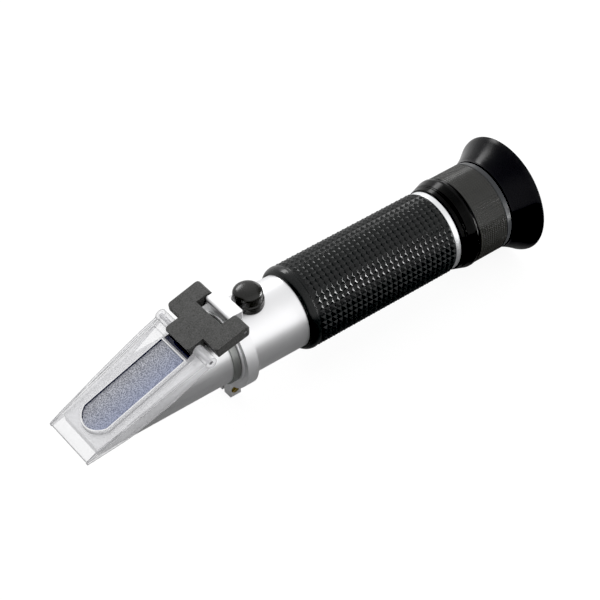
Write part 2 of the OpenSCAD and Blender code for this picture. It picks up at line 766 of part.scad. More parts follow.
// One hinge barrel, and the strap that grows out of the plate's rear edge and joins it
strap_share = 0.6;
strap_root = 1;
strap_inset = 0.15;
module cover_barrel() {
    root_x = plate_back_x - strap_root;
    at(cover_pin_x, cover_pin_z) translate([0, -barrel_in, 0]) rotate([90, 0, 0])
        cylinder(h = cover_hinge_half - barrel_in, r = barrel_r);
    intersection() {
        side_shape([on_face(root_x, plate_low + strap_inset), on_face(root_x, plate_top - strap_inset),
            [cover_pin_x, cover_pin_z + barrel_r * strap_share],
            [cover_pin_x, cover_pin_z - barrel_r * strap_share]], wide);
        plan_shape() intersection() {
            cover_plan(cover_wall / 2);
            translate([tip_x, -barrel_in - wide]) square([cover_len, wide]);
        }
    }
}
cover_pin_inset = 0.3;
module cover_pin() color("lightgray")
    across(cover_pin_x, cover_pin_z, cover_pin_r, cover_hinge_half - cover_pin_inset);

// Rubber cap over the calibration screw, pulled off upward
cap_foot_rise = 1.4;
cap_step = 0.3;
cap_round = 1.8;
cap_roof = 2.6;
cap_top = tube_r + cap_high;
cap_foot_top = tube_r + cap_foot_rise;
module calibration_cap() color([0.06, 0.06, 0.06]) difference() {
    at(cap_x) rotate_extrude() {
        polygon([[0, 0], [cap_foot_r, 0], [cap_foot_r, cap_foot_top], [cap_r, cap_foot_top + cap_step],
            [cap_r, cap_top - cap_round], [0, cap_top - cap_round]]);
        square([cap_r - cap_round, cap_top]);
        translate([cap_r - cap_round, cap_top - cap_round]) circle(cap_round);
    }
    along(cap_x - cap_foot_r - over, 2 * (cap_foot_r + over), tube_r + thin_gap);
    at(cap_x) cylinder(h = cap_top - cap_roof, r = bush_r + run_gap);
}

// Grub screw: its tip rests on the flat of the objective cell
screw_rise = 0.9;
cal_slot_deep = 0.6;
screw_tip = cell_r - cell_flat;
screw_top = bush_top + screw_rise;
module calibration_screw() color("silver") at(cap_x) difference() {
    translate([0, 0, screw_tip]) cylinder(h = screw_top - screw_tip, r = cal_screw_r);
    translate([0, 0, screw_top]) cube([2 * cal_screw_r + over, slot_wide, 2 * cal_slot_deep], center = true);
}

prism_housing();
measuring_prism();
prism_seal();
neck_ring();
hinge_collar();
clamp_screw();
main_tube();
screw_bush();
grip_sleeve();
end_ring();
bimetal_strip();
strip_block();
strip_screws();
light_baffle();
reticle();
reticle_holder();
housing_o_ring();
rear_sleeve();
focus_clip();
guide_pin();
hinge_link();
link_pin();
cover_plate();
cover_pin();
calibration_cap();
objective_cell();
objective_lens();
objective_ring();
calibration_screw();
focus_ring();
eyepiece_barrel();
eyecup();
field_lens();
lens_spacer();
eye_lens();
lens_ring();
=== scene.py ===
"""Looks of a handheld refractometer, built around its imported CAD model.

The model's frame is in metres. Pieces are drafted in millimetres in that same frame: the tube lies along X,
the prism end toward -X, the eyepiece toward +X, and the tube's axis is AXIS_HIGH above the floor.
A drafted piece is brought to metres by dress(), which also gives it its finish and its body.
"""
import math
import bmesh
import bpy
from mathutils import Matrix, Vector


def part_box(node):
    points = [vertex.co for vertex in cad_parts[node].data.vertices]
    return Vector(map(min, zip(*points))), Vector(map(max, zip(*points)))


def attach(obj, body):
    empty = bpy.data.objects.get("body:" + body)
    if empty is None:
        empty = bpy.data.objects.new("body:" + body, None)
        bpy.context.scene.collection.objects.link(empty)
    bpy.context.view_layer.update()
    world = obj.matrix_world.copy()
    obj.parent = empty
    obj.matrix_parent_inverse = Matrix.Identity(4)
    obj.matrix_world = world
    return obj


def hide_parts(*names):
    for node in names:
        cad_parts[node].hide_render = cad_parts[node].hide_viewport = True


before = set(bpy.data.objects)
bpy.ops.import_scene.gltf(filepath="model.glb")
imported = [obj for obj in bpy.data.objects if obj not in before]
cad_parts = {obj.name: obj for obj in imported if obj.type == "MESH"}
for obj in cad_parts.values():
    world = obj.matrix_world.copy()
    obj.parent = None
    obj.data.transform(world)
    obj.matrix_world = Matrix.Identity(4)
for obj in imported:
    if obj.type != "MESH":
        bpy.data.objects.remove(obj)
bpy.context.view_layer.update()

MM = 0.001
FULL_TURN = 2 * math.pi
OVER = 1.0            # how far a cutter runs past what it cuts


# Stations read off the CAD nodes.

class Spot:
    """Where a CAD node is at rest, in millimetres."""

    def __init__(self, node):
        low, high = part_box(node)
        self.x0, self.y0, self.z0 = (v / MM for v in low)
        self.x1, self.y1, self.z1 = (v / MM for v in high)
        self.r = (self.y1 - self.y0) / 2
        self.mid_x, self.mid_z = (self.x0 + self.x1) / 2, (self.z0 + self.z1) / 2


NAMES = ["main_tube", "grip_sleeve", "end_ring", "neck_ring", "measuring_prism", "link_pin", "cover_pin",
         "cover_plate", "hinge_link", "calibration_cap", "screw_bush", "focus_ring", "eyecup", "eye_lens",
         "focus_clip"]
at = {name: Spot(name) for name in NAMES}
AXIS_HIGH = at["main_tube"].mid_z


# Drafting.

CORNER_SHARE = 0.46           # a round takes at most this share of either side beside it
GUARD_MOST, GUARD_LEAST, GUARD_GROWS = 0.06, 0.04, 0.02     # how far a guard point stands off its round
WELD = 1e-5                   # points of a turned solid closer than this are one point
MERGE = 1e-3                  # corners of a CAD mesh closer than this are one corner
FLAT = math.radians(0.6)      # CAD faces that meet at less than this are one face
SHARP = math.radians(28)      # an edge that turns by more than this is an edge of the piece
CREASE = 38                   # shading breaks at edges sharper than this, in degrees
WEIGHT = 60                   # how much the larger faces set the shading


def new_object(name, data):
    piece = bpy.data.objects.new(name, data)
    bpy.context.scene.collection.objects.link(piece)
    return piece


def from_bmesh(name, bm):
    mesh = bpy.data.meshes.new(name)
    bm.to_mesh(mesh)
    bm.free()
    return new_object(name, mesh)


def rounded(corners, steps=4):
    """A closed outline with its corners rounded. A corner is a station, a radius and the size of its round.
    A guard point just outside each round keeps the flat beside it flat when it is shaded."""
    points = []
    for i, (x, r, size) in enumerate(corners):
        here, before = Vector((x, r)), Vector(corners[i - 1][:2])
        after = Vector(corners[(i + 1) % len(corners)][:2])
        if not size:
            points.append(here)
            continue
        back, on = before - here, after - here
        half = back.angle(on) / 2
        reach = min(size / math.tan(half), CORNER_SHARE * back.length, CORNER_SHARE * on.length)
        back.normalize()
        on.normalize()
        start, end = here + back * reach, here + on * reach
        centre = here + (back + on).normalized() * reach / math.cos(half)
        spare = min(GUARD_MOST, GUARD_GROWS * reach + GUARD_LEAST)
        points.append(start + back * spare)
        for k in range(steps + 1):
            spoke = (start - centre).lerp(end - centre, k / steps)
            points.append(centre + spoke.normalized() * (start - centre).length)
        points.append(end + on * spare)
    return [tuple(p) for p in points]


def around_tube(along, r, a):
    return Vector((along, -r * math.sin(a), AXIS_HIGH + r * math.cos(a)))


def around_post(x, z):
    """Turning about an upright line, from a height z."""
    return lambda along, r, a: Vector((x + r * math.cos(a), r * math.sin(a), z + along))


def around_pin(x, z):
    """Turning about a line across the part."""
    return lambda along, r, a: Vector((x + r * math.cos(a), along, z + r * math.sin(a)))


def turned(name, outline, steps=144, place=around_tube):
    """A solid of revolution from a closed outline of (station, radius) pairs."""
    bm = bmesh.new()
    rings = [[bm.verts.new(place(x, r, FULL_TURN * k / steps)) for x, r in outline] for k in range(steps)]
    count = len(outline)
    for k in range(steps):
        here, there = rings[k], rings[(k + 1) % steps]
        for i in range(count):
            j = (i + 1) % count
            if outline[i][1] or outline[j][1]:
                bm.faces.new((here[i], there[i], there[j], here[j]))
    bmesh.ops.remove_doubles(bm, verts=bm.verts, dist=WELD)
    bmesh.ops.recalc_face_normals(bm, faces=bm.faces)
    return from_bmesh(name, bm)


def rod(place, start, end, radius, steps=96):
    """A plain round cutter."""
    return turned("cutter", [(start, 0), (start, radius), (end, radius), (end, 0)], steps, place)


def prism_of(points, lift):
    """A straight-sided solid: a flat outline, and the same outline moved by lift."""
    bm = bmesh.new()
    face = bm.faces.new([bm.verts.new(p) for p in points])
    grown = bmesh.ops.extrude_face_region(bm, geom=[face])
    moved = [v for v in grown["geom"] if isinstance(v, bmesh.types.BMVert)]
    bmesh.ops.translate(bm, verts=moved, vec=lift)
    bmesh.ops.recalc_face_normals(bm, faces=bm.faces)
    return from_bmesh("cutter", bm)


def block(x, y, z):
    """A box between two values along each axis."""
    corners = [(x[0], y[0], z[0]), (x[1], y[0], z[0]), (x[1], y[1], z[0]), (x[0], y[1], z[0])]
    return prism_of(corners, Vector((0, 0, z[1] - z[0])))


def settled(piece):
    """The piece with its modifiers worked into its mesh."""
    graph = bpy.context.evaluated_depsgraph_get()
    mesh = bpy.data.meshes.new_from_object(piece.evaluated_get(graph))
    piece.modifiers.clear()
    old, piece.data = piece.data, mesh
    bpy.data.meshes.remove(old)
    return piece


def less(piece, *cutters):
    """The piece cut by each cutter in turn. The cutters are used up."""
    for cutter in cutters:
        step = piece.modifiers.new("cut", "BOOLEAN")
        step.object, step.operation, step.solver = cutter, "DIFFERENCE", "EXACT"
        settled(piece)
        bpy.data.objects.remove(cutter)
    return piece


def put_together(piece, other):
    """One object with the meshes of both, as they are."""
    bm = bmesh.new()
    bm.from_mesh(piece.data)
    bm.from_mesh(other.data)
    bm.to_mesh(piece.data)
    bm.free()
    bpy.data.objects.remove(other)
    return piece


def copy_of(node, name):
    """A copy of a CAD node's mesh in millimetres, with its loose triangles merged into whole faces."""
    bm = bmesh.new()
    bm.from_mesh(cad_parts[node].data)
    bmesh.ops.scale(bm, vec=Vector((1, 1, 1)) / MM, verts=bm.verts)
    bmesh.ops.remove_doubles(bm, verts=bm.verts, dist=MERGE)
    bmesh.ops.dissolve_limit(bm, angle_limit=FLAT, verts=bm.verts, edges=bm.edges)
    return from_bmesh(name, bm)


def softened(piece, width, steps=3, edge_slot=-1):
    """Rounds every sharp edge, and lets the large faces set the shading.
    The rounds can take a material slot of their own."""
    bevel = piece.modifiers.new("round", "BEVEL")
    bevel.material = edge_slot
    bevel.width, bevel.segments = width, steps
    bevel.limit_method, bevel.angle_limit = "ANGLE", SHARP
    bevel.use_clamp_overlap = True
    bevel.miter_outer = "MITER_ARC"
    settled(piece)
    return shaded(piece)


def shaded(piece, crease=CREASE, weighted=True):
    """Smooth shading with a crease at every edge sharper than crease degrees."""
    bm = bmesh.new()
    bm.from_mesh(piece.data)
    for face in bm.faces:
        face.smooth = True
    for edge in bm.edges:
        if len(edge.link_faces) == 2:
            edge.smooth = edge.calc_face_angle(0) < math.radians(crease)
    bm.to_mesh(piece.data)
    bm.free()
    if weighted:
        weigh = piece.modifiers.new("weigh", "WEIGHTED_NORMAL")
        weigh.keep_sharp, weigh.weight = True, WEIGHT
        settled(piece)
    return piece


def dress(piece, finish, body, nodes=()):
    """Brings a drafted piece to metres, gives it its finish and its body, and hides the CAD nodes it stands
    for.
    A piece with faces in more than one slot takes a list of finishes, one for each."""
    finishes = finish if isinstance(finish, list) else [finish]
    piece.data.transform(Matrix.Scale(MM, 4))
    while len(piece.data.materials) < len(finishes):
        piece.data.materials.append(None)
    for i, each in enumerate(finishes):
        piece.data.materials[i] = each
    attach(piece, body)
    if nodes:
        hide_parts(*nodes)


def dress_round(piece, finish, body, node):
    """The same for a turned piece, which keeps its round shading."""
    dress(shaded(piece, weighted=False), finish, body, [node])


# Shader groups.

MIX_SHARE, MIX_A, MIX_B, MIX_OUT = 0, 6, 7, 2     # the sockets of a Mix node that mix colours


def opaque(tone):
    return tone + (1.0,)


def grey(level):
    return (level, level, level, 1.0)


def socket(tree, name, kind, value=None, out=False):
    side = "OUTPUT" if out else "INPUT"
    made = tree.interface.new_socket(name, in_out=side, socket_type="NodeSocket" + kind)
    if value is not None:
        made.default_value = value


class Wiring:
    """Short words for placing and joining the nodes of one tree."""

    def __init__(self, tree):
        self.tree = tree

    def add(self, kind, **settings):
        node = self.tree.nodes.new(kind)
        for key, value in settings.items():
            setattr(node, key, value)
        return node

    def given(self, kind):
        """The node of a kind that a new tree comes with."""
        return next(n for n in self.tree.nodes if n.type == kind)

    def link(self, start, end):
        self.tree.links.new(start, end)

    def feed(self, node, values):
        """Gives each named or numbered input its value: a link where it comes from another node."""
        for key, value in values.items():
            if isinstance(value, bpy.types.NodeSocket):
                self.link(value, node.inputs[key])
            elif value is not None:
                node.inputs[key].default_value = value

    def math(self, operation, a, b=None, clamp=False):
        node = self.add("ShaderNodeMath", operation=operation, use_clamp=clamp)
        self.feed(node, {0: a, 1: b})
        return node.outputs[0]

    def noise(self, vector, scale, detail, rough):
        node = self.add("ShaderNodeTexNoise")
        self.feed(node, {"Vector": vector, "Scale": scale, "Detail": detail, "Roughness": rough})
        return node.outputs["Fac"]

    def ramp(self, value, low, high, out_low=0.0, out_high=1.0):
        node = self.add("ShaderNodeMapRange", clamp=True)
        self.feed(node, {"Value": value, "From Min": low, "From Max": high,
                         "To Min": out_low, "To Max": out_high})
        return node.outputs["Result"]

    def mix(self, share, a, b):
        node = self.add("ShaderNodeMix", data_type="RGBA")
        self.feed(node, {MIX_SHARE: share, MIX_A: a, MIX_B: b})
        return node.outputs[MIX_OUT]

    def split(self, vector):
        """The three values of a vector."""
        node = self.add("ShaderNodeSeparateXYZ")
        self.link(vector, node.inputs[0])
        return node.outputs

    def vector(self, x=None, y=None, z=None):
        node = self.add("ShaderNodeCombineXYZ")
        self.feed(node, {0: x, 1: y, 2: z})
        return node.outputs[0]


def shader_group(name, inputs, outputs):
    tree = bpy.data.node_groups.new(name, "ShaderNodeTree")
    for label, kind, value in inputs:
        socket(tree, label, kind, value)
    for label, kind in outputs:
        socket(tree, label, kind, out=True)
    wires = Wiring(tree)
    return tree, wires, wires.add("NodeGroupInput"), wires.add("NodeGroupOutput")


def moulded_grain():
    """Fine grain of a moulded surface, and slow patches of handling over it."""
    tree, w, gin, gout = shader_group(
        "moulded grain",
        [("Position", "Vector", None), ("Grain", "Float", 4000.0), ("Patch", "Float", 90.0)],
        [("Height", "Float"), ("Speckle", "Float"), ("Patches", "Float")])
    fine = w.noise(gin.outputs["Position"], gin.outputs["Grain"], 3.0, 0.6)
    slow = w.noise(gin.outputs["Position"], gin.outputs["Patch"], 3.0, 0.55)
    w.link(fine, gout.inputs["Height"])
    w.link(w.ramp(fine, 0.35, 0.65), gout.inputs["Speckle"])
    w.link(w.ramp(slow, 0.3, 0.7), gout.inputs["Patches"])
    return tree


def turning_lines():
    """Lines that a lathe tool leaves around the tube, fine and uneven along it."""
    tree, w, gin, gout = shader_group(
        "turning lines",
        [("Position", "Vector", None), ("Lines", "Float", 900.0), ("Round", "Float", 6.0)],
        [("Height", "Float"), ("Streaks", "Float")])
    stretch = w.vector(gin.outputs["Lines"], gin.outputs["Round"], gin.outputs["Round"])
    scaled = w.add("ShaderNodeVectorMath", operation="MULTIPLY")
    w.feed(scaled, {0: gin.outputs["Position"], 1: stretch})
    fine = w.noise(scaled.outputs[0], 4.0, 4.0, 0.7)
    broad = w.noise(scaled.outputs[0], 0.6, 2.0, 0.5)
    w.link(fine, gout.inputs["Height"])
    both = w.math("ADD", w.math("MULTIPLY", fine, 0.5), w.math("MULTIPLY", broad, 0.5))
    w.link(both, gout.inputs["Streaks"])
    return tree


def worn_and_lit_edges():
    """A mask that is 1 on sharp edges, broken up by noise: edges that hands and cases rub, and a painted
    highlight along them.
    """
    tree, w, gin, gout = shader_group(
        "worn and lit edges",
        [("Position", "Vector", None), ("Breaks", "Float", 500.0), ("Reach", "Float", 0.5)],
        [("Wear", "Float")])
    shape = w.add("ShaderNodeNewGeometry")
    edge = w.ramp(shape.outputs["Pointiness"], 0.5, 0.6)
    broken = w.ramp(w.noise(gin.outputs["Position"], gin.outputs["Breaks"], 3.0, 0.6), 0.4, 0.65)
    w.link(w.math("MULTIPLY", w.math("MULTIPLY", edge, broken), gin.outputs["Reach"], clamp=True),
           gout.inputs["Wear"])
    return tree


GRAIN, LINES, WEAR_AND_SHEEN = moulded_grain(), turning_lines(), worn_and_lit_edges()


# Materials.

class Finish:
    """A material around one Principled shader. Uniform values go straight on its sockets."""

    def __init__(self, name, **values):
        self.material = bpy.data.materials.new(name)
        self.material.use_nodes = True
        self.w = Wiring(self.material.node_tree)
        self.shader = self.w.given("BSDF_PRINCIPLED")
        self.position = self.w.add("ShaderNodeTexCoord").outputs["Object"]
        self.w.feed(self.shader, {key.replace("_", " "): value for key, value in values.items()})

    def group(self, tree, **values):
        node = self.w.add("ShaderNodeGroup", node_tree=tree)
        self.w.feed(node, dict(values, Position=self.position))
        return node

    def bump(self, height, depth, strength):
        """Surface relief, depth in metres."""
        node = self.w.add("ShaderNodeBump")
        self.w.feed(node, {"Strength": strength, "Distance": depth, "Height": height})
        self.w.link(node.outputs["Normal"], self.shader.inputs["Normal"])

    def colour(self, share, low, high):
        self.w.link(self.w.mix(share, opaque(low), opaque(high)), self.shader.inputs["Base Color"])

    def rough(self, mask, low, high):
        self.w.link(self.w.ramp(mask, 0.0, 1.0, low, high), self.shader.inputs["Roughness"])


SPREAD = 0.06                 # how far roughness wanders either side of its mean
HAZE = 0.05                   # how far it wanders over a polished face
LATHE_DEPTH = 6e-6            # of a lathe's lines, in metres


def scaled_tone(tone, by):
    """A tone with each of its values multiplied, and none past white."""
    return tuple(min(1.0, c * by) for c in tone)


def alloy(name, tone, rough, lines=0.0):
    """Turned or brushed metal: lathe lines in its relief and gloss, slow clouding in its colour."""
    f = Finish(name, Metallic=1.0)
    streak = f.group(LINES, Lines=900.0, Round=5.0)
    cloud = f.group(GRAIN, Grain=2600.0, Patch=60.0)
    f.colour(cloud.outputs["Patches"], scaled_tone(tone, 0.94), tone)
    f.rough(streak.outputs["Streaks"], rough - SPREAD, rough + SPREAD)
    f.bump(streak.outputs["Height"] if lines else cloud.outputs["Height"], LATHE_DEPTH, 0.2 + lines)
    return f.material


def moulding(name, tone, rough, gloss=0.3, grain=3500.0, depth=1.5e-5, worn_and_lit_tone=(0.16, 0.16, 0.16), reach=0.35,
             lift=1.35):
    """Moulded plastic or rubber: grain, patches of handling, and sharp edges a little lighter, partly rubbed
    and partly a painted highlight.
    """
    f = Finish(name, Specular_IOR_Level=gloss)
    g = f.group(GRAIN, Grain=grain, Patch=110.0)
    wear_and_sheen = f.group(WEAR_AND_SHEEN, Breaks=700.0, Reach=reach)
    base = f.w.mix(g.outputs["Speckle"], opaque(tone), opaque(scaled_tone(tone, lift)))
    # The lighter edge tone is partly real wear and partly a painted highlight along sharp edges.
    f.w.link(f.w.mix(wear_and_sheen.outputs["Wear"], base, opaque(worn_and_lit_tone)), f.shader.inputs["Base Color"])
    f.rough(g.outputs["Patches"], rough - SPREAD, rough + SPREAD)
    f.bump(g.outputs["Height"], depth, 0.35)
    return f.material


def clear_plastic(name, tone, face_on, edge_on, rough):
    """Clear moulding: nearly see-through face on, and milkier along its walls, with faint flow marks."""
    f = Finish(name, IOR=1.49)
    g = f.group(GRAIN, Grain=1200.0, Patch=70.0)
    f.colour(g.outputs["Patches"], scaled_tone(tone, 0.96), tone)
    f.rough(g.outputs["Patches"], rough, rough + HAZE)
    f.bump(g.outputs["Patches"], 1.0e-5, 0.15)
    facing = f.w.add("ShaderNodeLayerWeight").outputs["Facing"]
    f.w.link(f.w.ramp(facing, 0.1, 0.95, face_on, edge_on), f.shader.inputs["Alpha"])
    return f.material


PAD_DARK, PAD_LIGHT = (0.16, 0.165, 0.19), (0.53, 0.54, 0.59)
PAD_DARK_BLUE, PAD_LIGHT_BLUE = (0.17, 0.19, 0.28), (0.38, 0.42, 0.57)
PLAIN_TO_Y, BLUE_FROM_Y = 0.004, -0.006


def frosted_pad():
    """Etched pad of the cover over the prism: fine sparkle, bluer along its near side."""
    f = Finish("frosted pad", Specular_IOR_Level=0.3)
    g = f.group(GRAIN, Grain=2900.0, Patch=160.0)
    spark = f.w.ramp(g.outputs["Speckle"], 0.25, 0.75)
    side = f.w.ramp(f.w.split(f.position)["Y"], PLAIN_TO_Y, BLUE_FROM_Y)
    low = f.w.mix(side, opaque(PAD_DARK), opaque(PAD_DARK_BLUE))
    high = f.w.mix(side, opaque(PAD_LIGHT), opaque(PAD_LIGHT_BLUE))
    f.w.link(f.w.mix(spark, low, high), f.shader.inputs["Base Color"])
    f.rough(g.outputs["Speckle"], 0.35, 0.6)
    f.bump(g.outputs["Height"], 3.0e-5, 0.5)
    return f.material


def dark_glass(name, tone):
    """Glass drawn opaque and dark, painted shade for the dark pocket that shows through it, with polishing
    haze.
    """
    f = Finish(name, Specular_IOR_Level=0.5)
    g = f.group(GRAIN, Grain=900.0, Patch=120.0)
    f.colour(g.outputs["Patches"], tone, scaled_tone(tone, 1.25))
    f.rough(g.outputs["Patches"], 0.03, 0.08)
    f.bump(g.outputs["Patches"], 4e-6, 0.1)
    return f.material


def lens_glass():
    """Coated lens glass, a little violet where the coating shows."""
    f = Finish("lens glass", Transmission_Weight=1.0, IOR=1.52, Metallic=0.0)
    g = f.group(GRAIN, Grain=700.0, Patch=40.0)
    f.colour(g.outputs["Patches"], (0.86, 0.88, 0.97), (0.93, 0.92, 1.0))
    f.rough(g.outputs["Patches"], 0.0, 0.02)
    return f.material


def grip_rubber():
    """Rubber of the grip, with a fine grain and patches that hands have polished."""
    f = Finish("grip rubber", Specular_IOR_Level=0.35)
    g = f.group(GRAIN, Grain=3200.0, Patch=130.0)
    f.colour(g.outputs["Speckle"], (0.007, 0.008, 0.008), (0.016, 0.017, 0.017))
    f.rough(g.outputs["Patches"], 0.18, 0.28)
    f.bump(g.outputs["Height"], 8e-6, 0.25)
    return f.material


satin = alloy("satin alloy", (0.89, 0.89, 0.90), 0.38, lines=0.3)
collar_metal = alloy("collar alloy", (0.86, 0.86, 0.87), 0.46)
bright = alloy("bright alloy", (0.90, 0.91, 0.92), 0.36, lines=0.2)
darkened = alloy("dark ring", (0.36, 0.37, 0.36), 0.40, lines=0.3)
inner_metal = alloy("inner metal", (0.42, 0.42, 0.43), 0.42)
steel = alloy("steel", (0.66, 0.66, 0.68), 0.24)
strip_metal = alloy("strip metal", (0.72, 0.50, 0.36), 0.36)
brass = alloy("brass", (0.34, 0.27, 0.12), 0.30)
link_plastic = moulding("link plastic", (0.036, 0.036, 0.035), 0.5, grain=2400.0, depth=4e-5, lift=2.6,
                        worn_and_lit_tone=(0.10, 0.10, 0.10))
black_plastic = moulding("black plastic", (0.007, 0.007, 0.007), 0.14, gloss=0.16, depth=4e-6, reach=0.1)
knurl_plastic = moulding("knurled plastic", (0.014, 0.014, 0.012), 0.2, gloss=0.6, depth=4e-6, reach=0.0)
# Painted reflection: the black plastic made lighter and bluer for the floor that the rear band mirrors.
band_sheen_plastic = moulding("band plastic sheen", (0.040, 0.042, 0.045), 0.3, gloss=0.4, depth=4e-6, reach=0.1)
gloss_black = moulding("gloss black", (0.012, 0.012, 0.011), 0.25, gloss=0.45, depth=3e-6, reach=0.1)
cup_rubber = moulding("cup rubber", (0.004, 0.004, 0.005), 0.2, gloss=0.2, depth=5e-6, reach=0.15)
seal_rubber = moulding("seal rubber", (0.012, 0.012, 0.012), 0.5)
studded = grip_rubber()
clear = clear_plastic("clear cover", (0.95, 0.95, 0.97), 0.26, 0.5, 0.06)
# Painted shade: a darker, denser grey for the cover's rounded edges and the bars inside them, for the dark
# lines its clear walls show edge on.
clear_edge_shade = clear_plastic("clear cover edge shade", (0.34, 0.34, 0.35), 0.55, 0.85, 0.10)
pad_finish = frosted_pad()
frame_finish = clear_plastic("pad frame", (0.95, 0.95, 0.96), 0.9, 0.97, 0.15)
# The prism's navy is painted shade for the dark inside that shows through the glass.
prism_shade_finish = dark_glass("prism glass", (0.016, 0.019, 0.046))
lens_finish = lens_glass()


# Tube, rings and sleeves.

WALL = 1.4
TUBE_BORE = at["main_tube"].r - WALL
GUIDE_X, GUIDE_R = at["grip_sleeve"].x1 - 6.0, 1.0      # the hole of the eyepiece's guide pin
NECK_LAP = 0.4                # how far the dark ring reaches inside the tube's bore


def tube_piece():
    t, bush = at["main_tube"], at["screw_bush"]
    tube = turned("tube", rounded([
        (t.x0, TUBE_BORE, 0.1), (t.x0, t.r, 0.3), (t.x1, t.r, 0.1), (t.x1, TUBE_BORE, 0.1)]))
    hole = rod(around_post(bush.mid_x, AXIS_HIGH), 0, t.r + OVER, bush.r)
    pin = rod(around_post(GUIDE_X, AXIS_HIGH - t.r - OVER), 0, t.r, GUIDE_R, 32)
    return less(tube, hole, pin)


def end_ring_piece():
    e = at["end_ring"]
    return turned("rear_ring", rounded([
        (e.x0, at["main_tube"].r, 0), (e.x0, e.r, 0.25), (e.x1, e.r, 0.35), (e.x1, at["main_tube"].r, 0)]))


def neck_ring_piece():
    n, inner = at["neck_ring"], TUBE_BORE - NECK_LAP
    return turned("neck_band", rounded([
        (n.x0, inner, 0), (n.x0, n.r, 0.25), (n.x1, n.r, 0.2), (n.x1, inner, 0)]))


# Grip and its studs.

STUD_FLOOR_DROP = 0.46        # from the studs' tops down to the floor between them
STUD_ROWS, STUDS_AROUND, STUD_TOP_SHARE, STUD_BASE_SHARE = 27, 44, 0.06, 0.96
BEAD_LEN, BEAD_ROUND, BEAD_STEPS = 3.2, 0.86, 14      # its rounded nose takes this share of its length
BEAD_GROOVE, BEAD_GROOVE_DEEP = 0.4, 0.5
GROOVE_IN, GROOVE_OUT = 0.35, 0.15                    # how far the groove's two walls lean


def grip_outline():
    g, tube_r = at["grip_sleeve"], at["main_tube"].r
    floor, groove_r = g.r - STUD_FLOOR_DROP, g.r - BEAD_GROOVE_DEEP
    bead = [(g.x0, tube_r, 0)]
    for k in range(1, BEAD_STEPS + 1):
        a = math.pi / 2 * k / BEAD_STEPS
        x = g.x0 + BEAD_LEN * BEAD_ROUND * (1 - math.cos(a))
        bead.append((x, tube_r + (g.r - tube_r) * math.sin(a), 0))
    flat = g.x0 + BEAD_LEN
    bead += [(flat - GROOVE_IN, g.r, 0.25), (flat, groove_r, 0.15), (flat + BEAD_GROOVE, groove_r, 0.12),
             (flat + BEAD_GROOVE + GROOVE_OUT, floor, 0.1), (g.x1, floor, 0.1), (g.x1, tube_r, 0)]
    return rounded(bead)


HALF_DIAGONAL = math.sqrt(0.5)      # of a square with sides of 1


def stud_tree(name, bottom_share, top_share, material):
    """Lays square studs round the tube in straight rows, on the geometry that it is given.
    A stud's bottom and top are shares of the room it has."""
    tree = bpy.data.node_groups.new(name, "GeometryNodeTree")
    socket(tree, "Body", "Geometry")
    for label, kind, value in (("Rows", "Int", 10), ("Around", "Int", 40), ("Start", "Float", 0.0),
                               ("Pitch", "Float", 1.0), ("Floor", "Float", 10.0), ("Height", "Float", 0.5),
                               ("Axis high", "Float", 20.0)):
        socket(tree, label, kind, value)
    socket(tree, "Body", "Geometry", out=True)
    w = Wiring(tree)
    gin, gout = w.add("NodeGroupInput"), w.add("NodeGroupOutput")
    into, calc = gin.outputs, w.math

    total = calc("MULTIPLY", into["Rows"], into["Around"])
    points = w.add("GeometryNodePoints")
    w.link(total, points.inputs["Count"])
    index = w.add("GeometryNodeInputIndex").outputs[0]
    row = calc("FLOOR", calc("DIVIDE", calc("ADD", index, 0.5), into["Around"]))
    turn = calc("MULTIPLY", calc("DIVIDE", calc("SUBTRACT", index, calc("MULTIPLY", row, into["Around"])),
                                 into["Around"]), FULL_TURN)
    along = calc("ADD", into["Start"], calc("MULTIPLY", calc("ADD", row, 0.5), into["Pitch"]))
    middle = calc("ADD", into["Floor"], calc("MULTIPLY", into["Height"], 0.5))
    across = calc("MULTIPLY", calc("MULTIPLY", middle, calc("SINE", turn)), -1.0)
    height = calc("ADD", into["Axis high"], calc("MULTIPLY", middle, calc("COSINE", turn)))
    w.link(w.vector(along, across, height), points.inputs["Position"])

    arc = calc("DIVIDE", calc("MULTIPLY", middle, FULL_TURN), into["Around"])
    stud = w.add("GeometryNodeMeshCone", fill_type="NGON")
    w.feed(stud, {"Vertices": 4, "Radius Top": top_share * HALF_DIAGONAL,
                  "Radius Bottom": bottom_share * HALF_DIAGONAL, "Depth": into["Height"]})
    square = w.add("GeometryNodeTransform")
    w.feed(square, {"Geometry": stud.outputs["Mesh"], "Rotation": (0, 0, math.pi / 4)})
    centred = w.add("GeometryNodeTransform")
    down = calc("MULTIPLY", into["Height"], -0.5)
    w.feed(centred, {"Geometry": square.outputs[0], "Translation": w.vector(z=down),
                     "Scale": w.vector(into["Pitch"], arc, 1.0)})
    lay = w.add("GeometryNodeInstanceOnPoints")
    w.feed(lay, {"Points": points.outputs[0], "Instance": centred.outputs[0], "Rotation": w.vector(turn)})
    whole = w.add("GeometryNodeJoinGeometry")
    w.link(lay.outputs[0], whole.inputs[0])
    w.link(into["Body"], whole.inputs[0])
    real = w.add("GeometryNodeRealizeInstances")
    w.link(whole.outputs[0], real.inputs[0])
    finish = w.add("GeometryNodeSetMaterial")
    w.feed(finish, {"Geometry": real.outputs[0], "Material": material})
    w.link(finish.outputs[0], gout.inputs[0])
    return tree


def studded_with(piece, tree, **sizes):
    """The piece with the studs of a tree laid on it, as one plain mesh."""
    grow = piece.modifiers.new("studs", "NODES")
    grow.node_group = tree
    for item in tree.interface.items_tree:
        key = item.name.replace(" ", "_")
        if item.in_out == "INPUT" and key in sizes:
            grow[item.identifier] = sizes[key]
    return settled(piece)


FILL_WIDE, FILL_SWEEP, FILL_CREASE = 0.30, 28, 50           # the last two in degrees
FILL_SUNK, FILL_LIFT, FILL_SHORT = 0.2, 0.02, 0.05
STUDS_ON, STUDS_SHORT = 0.25, 0.1     # bare floor before the first row and after the last


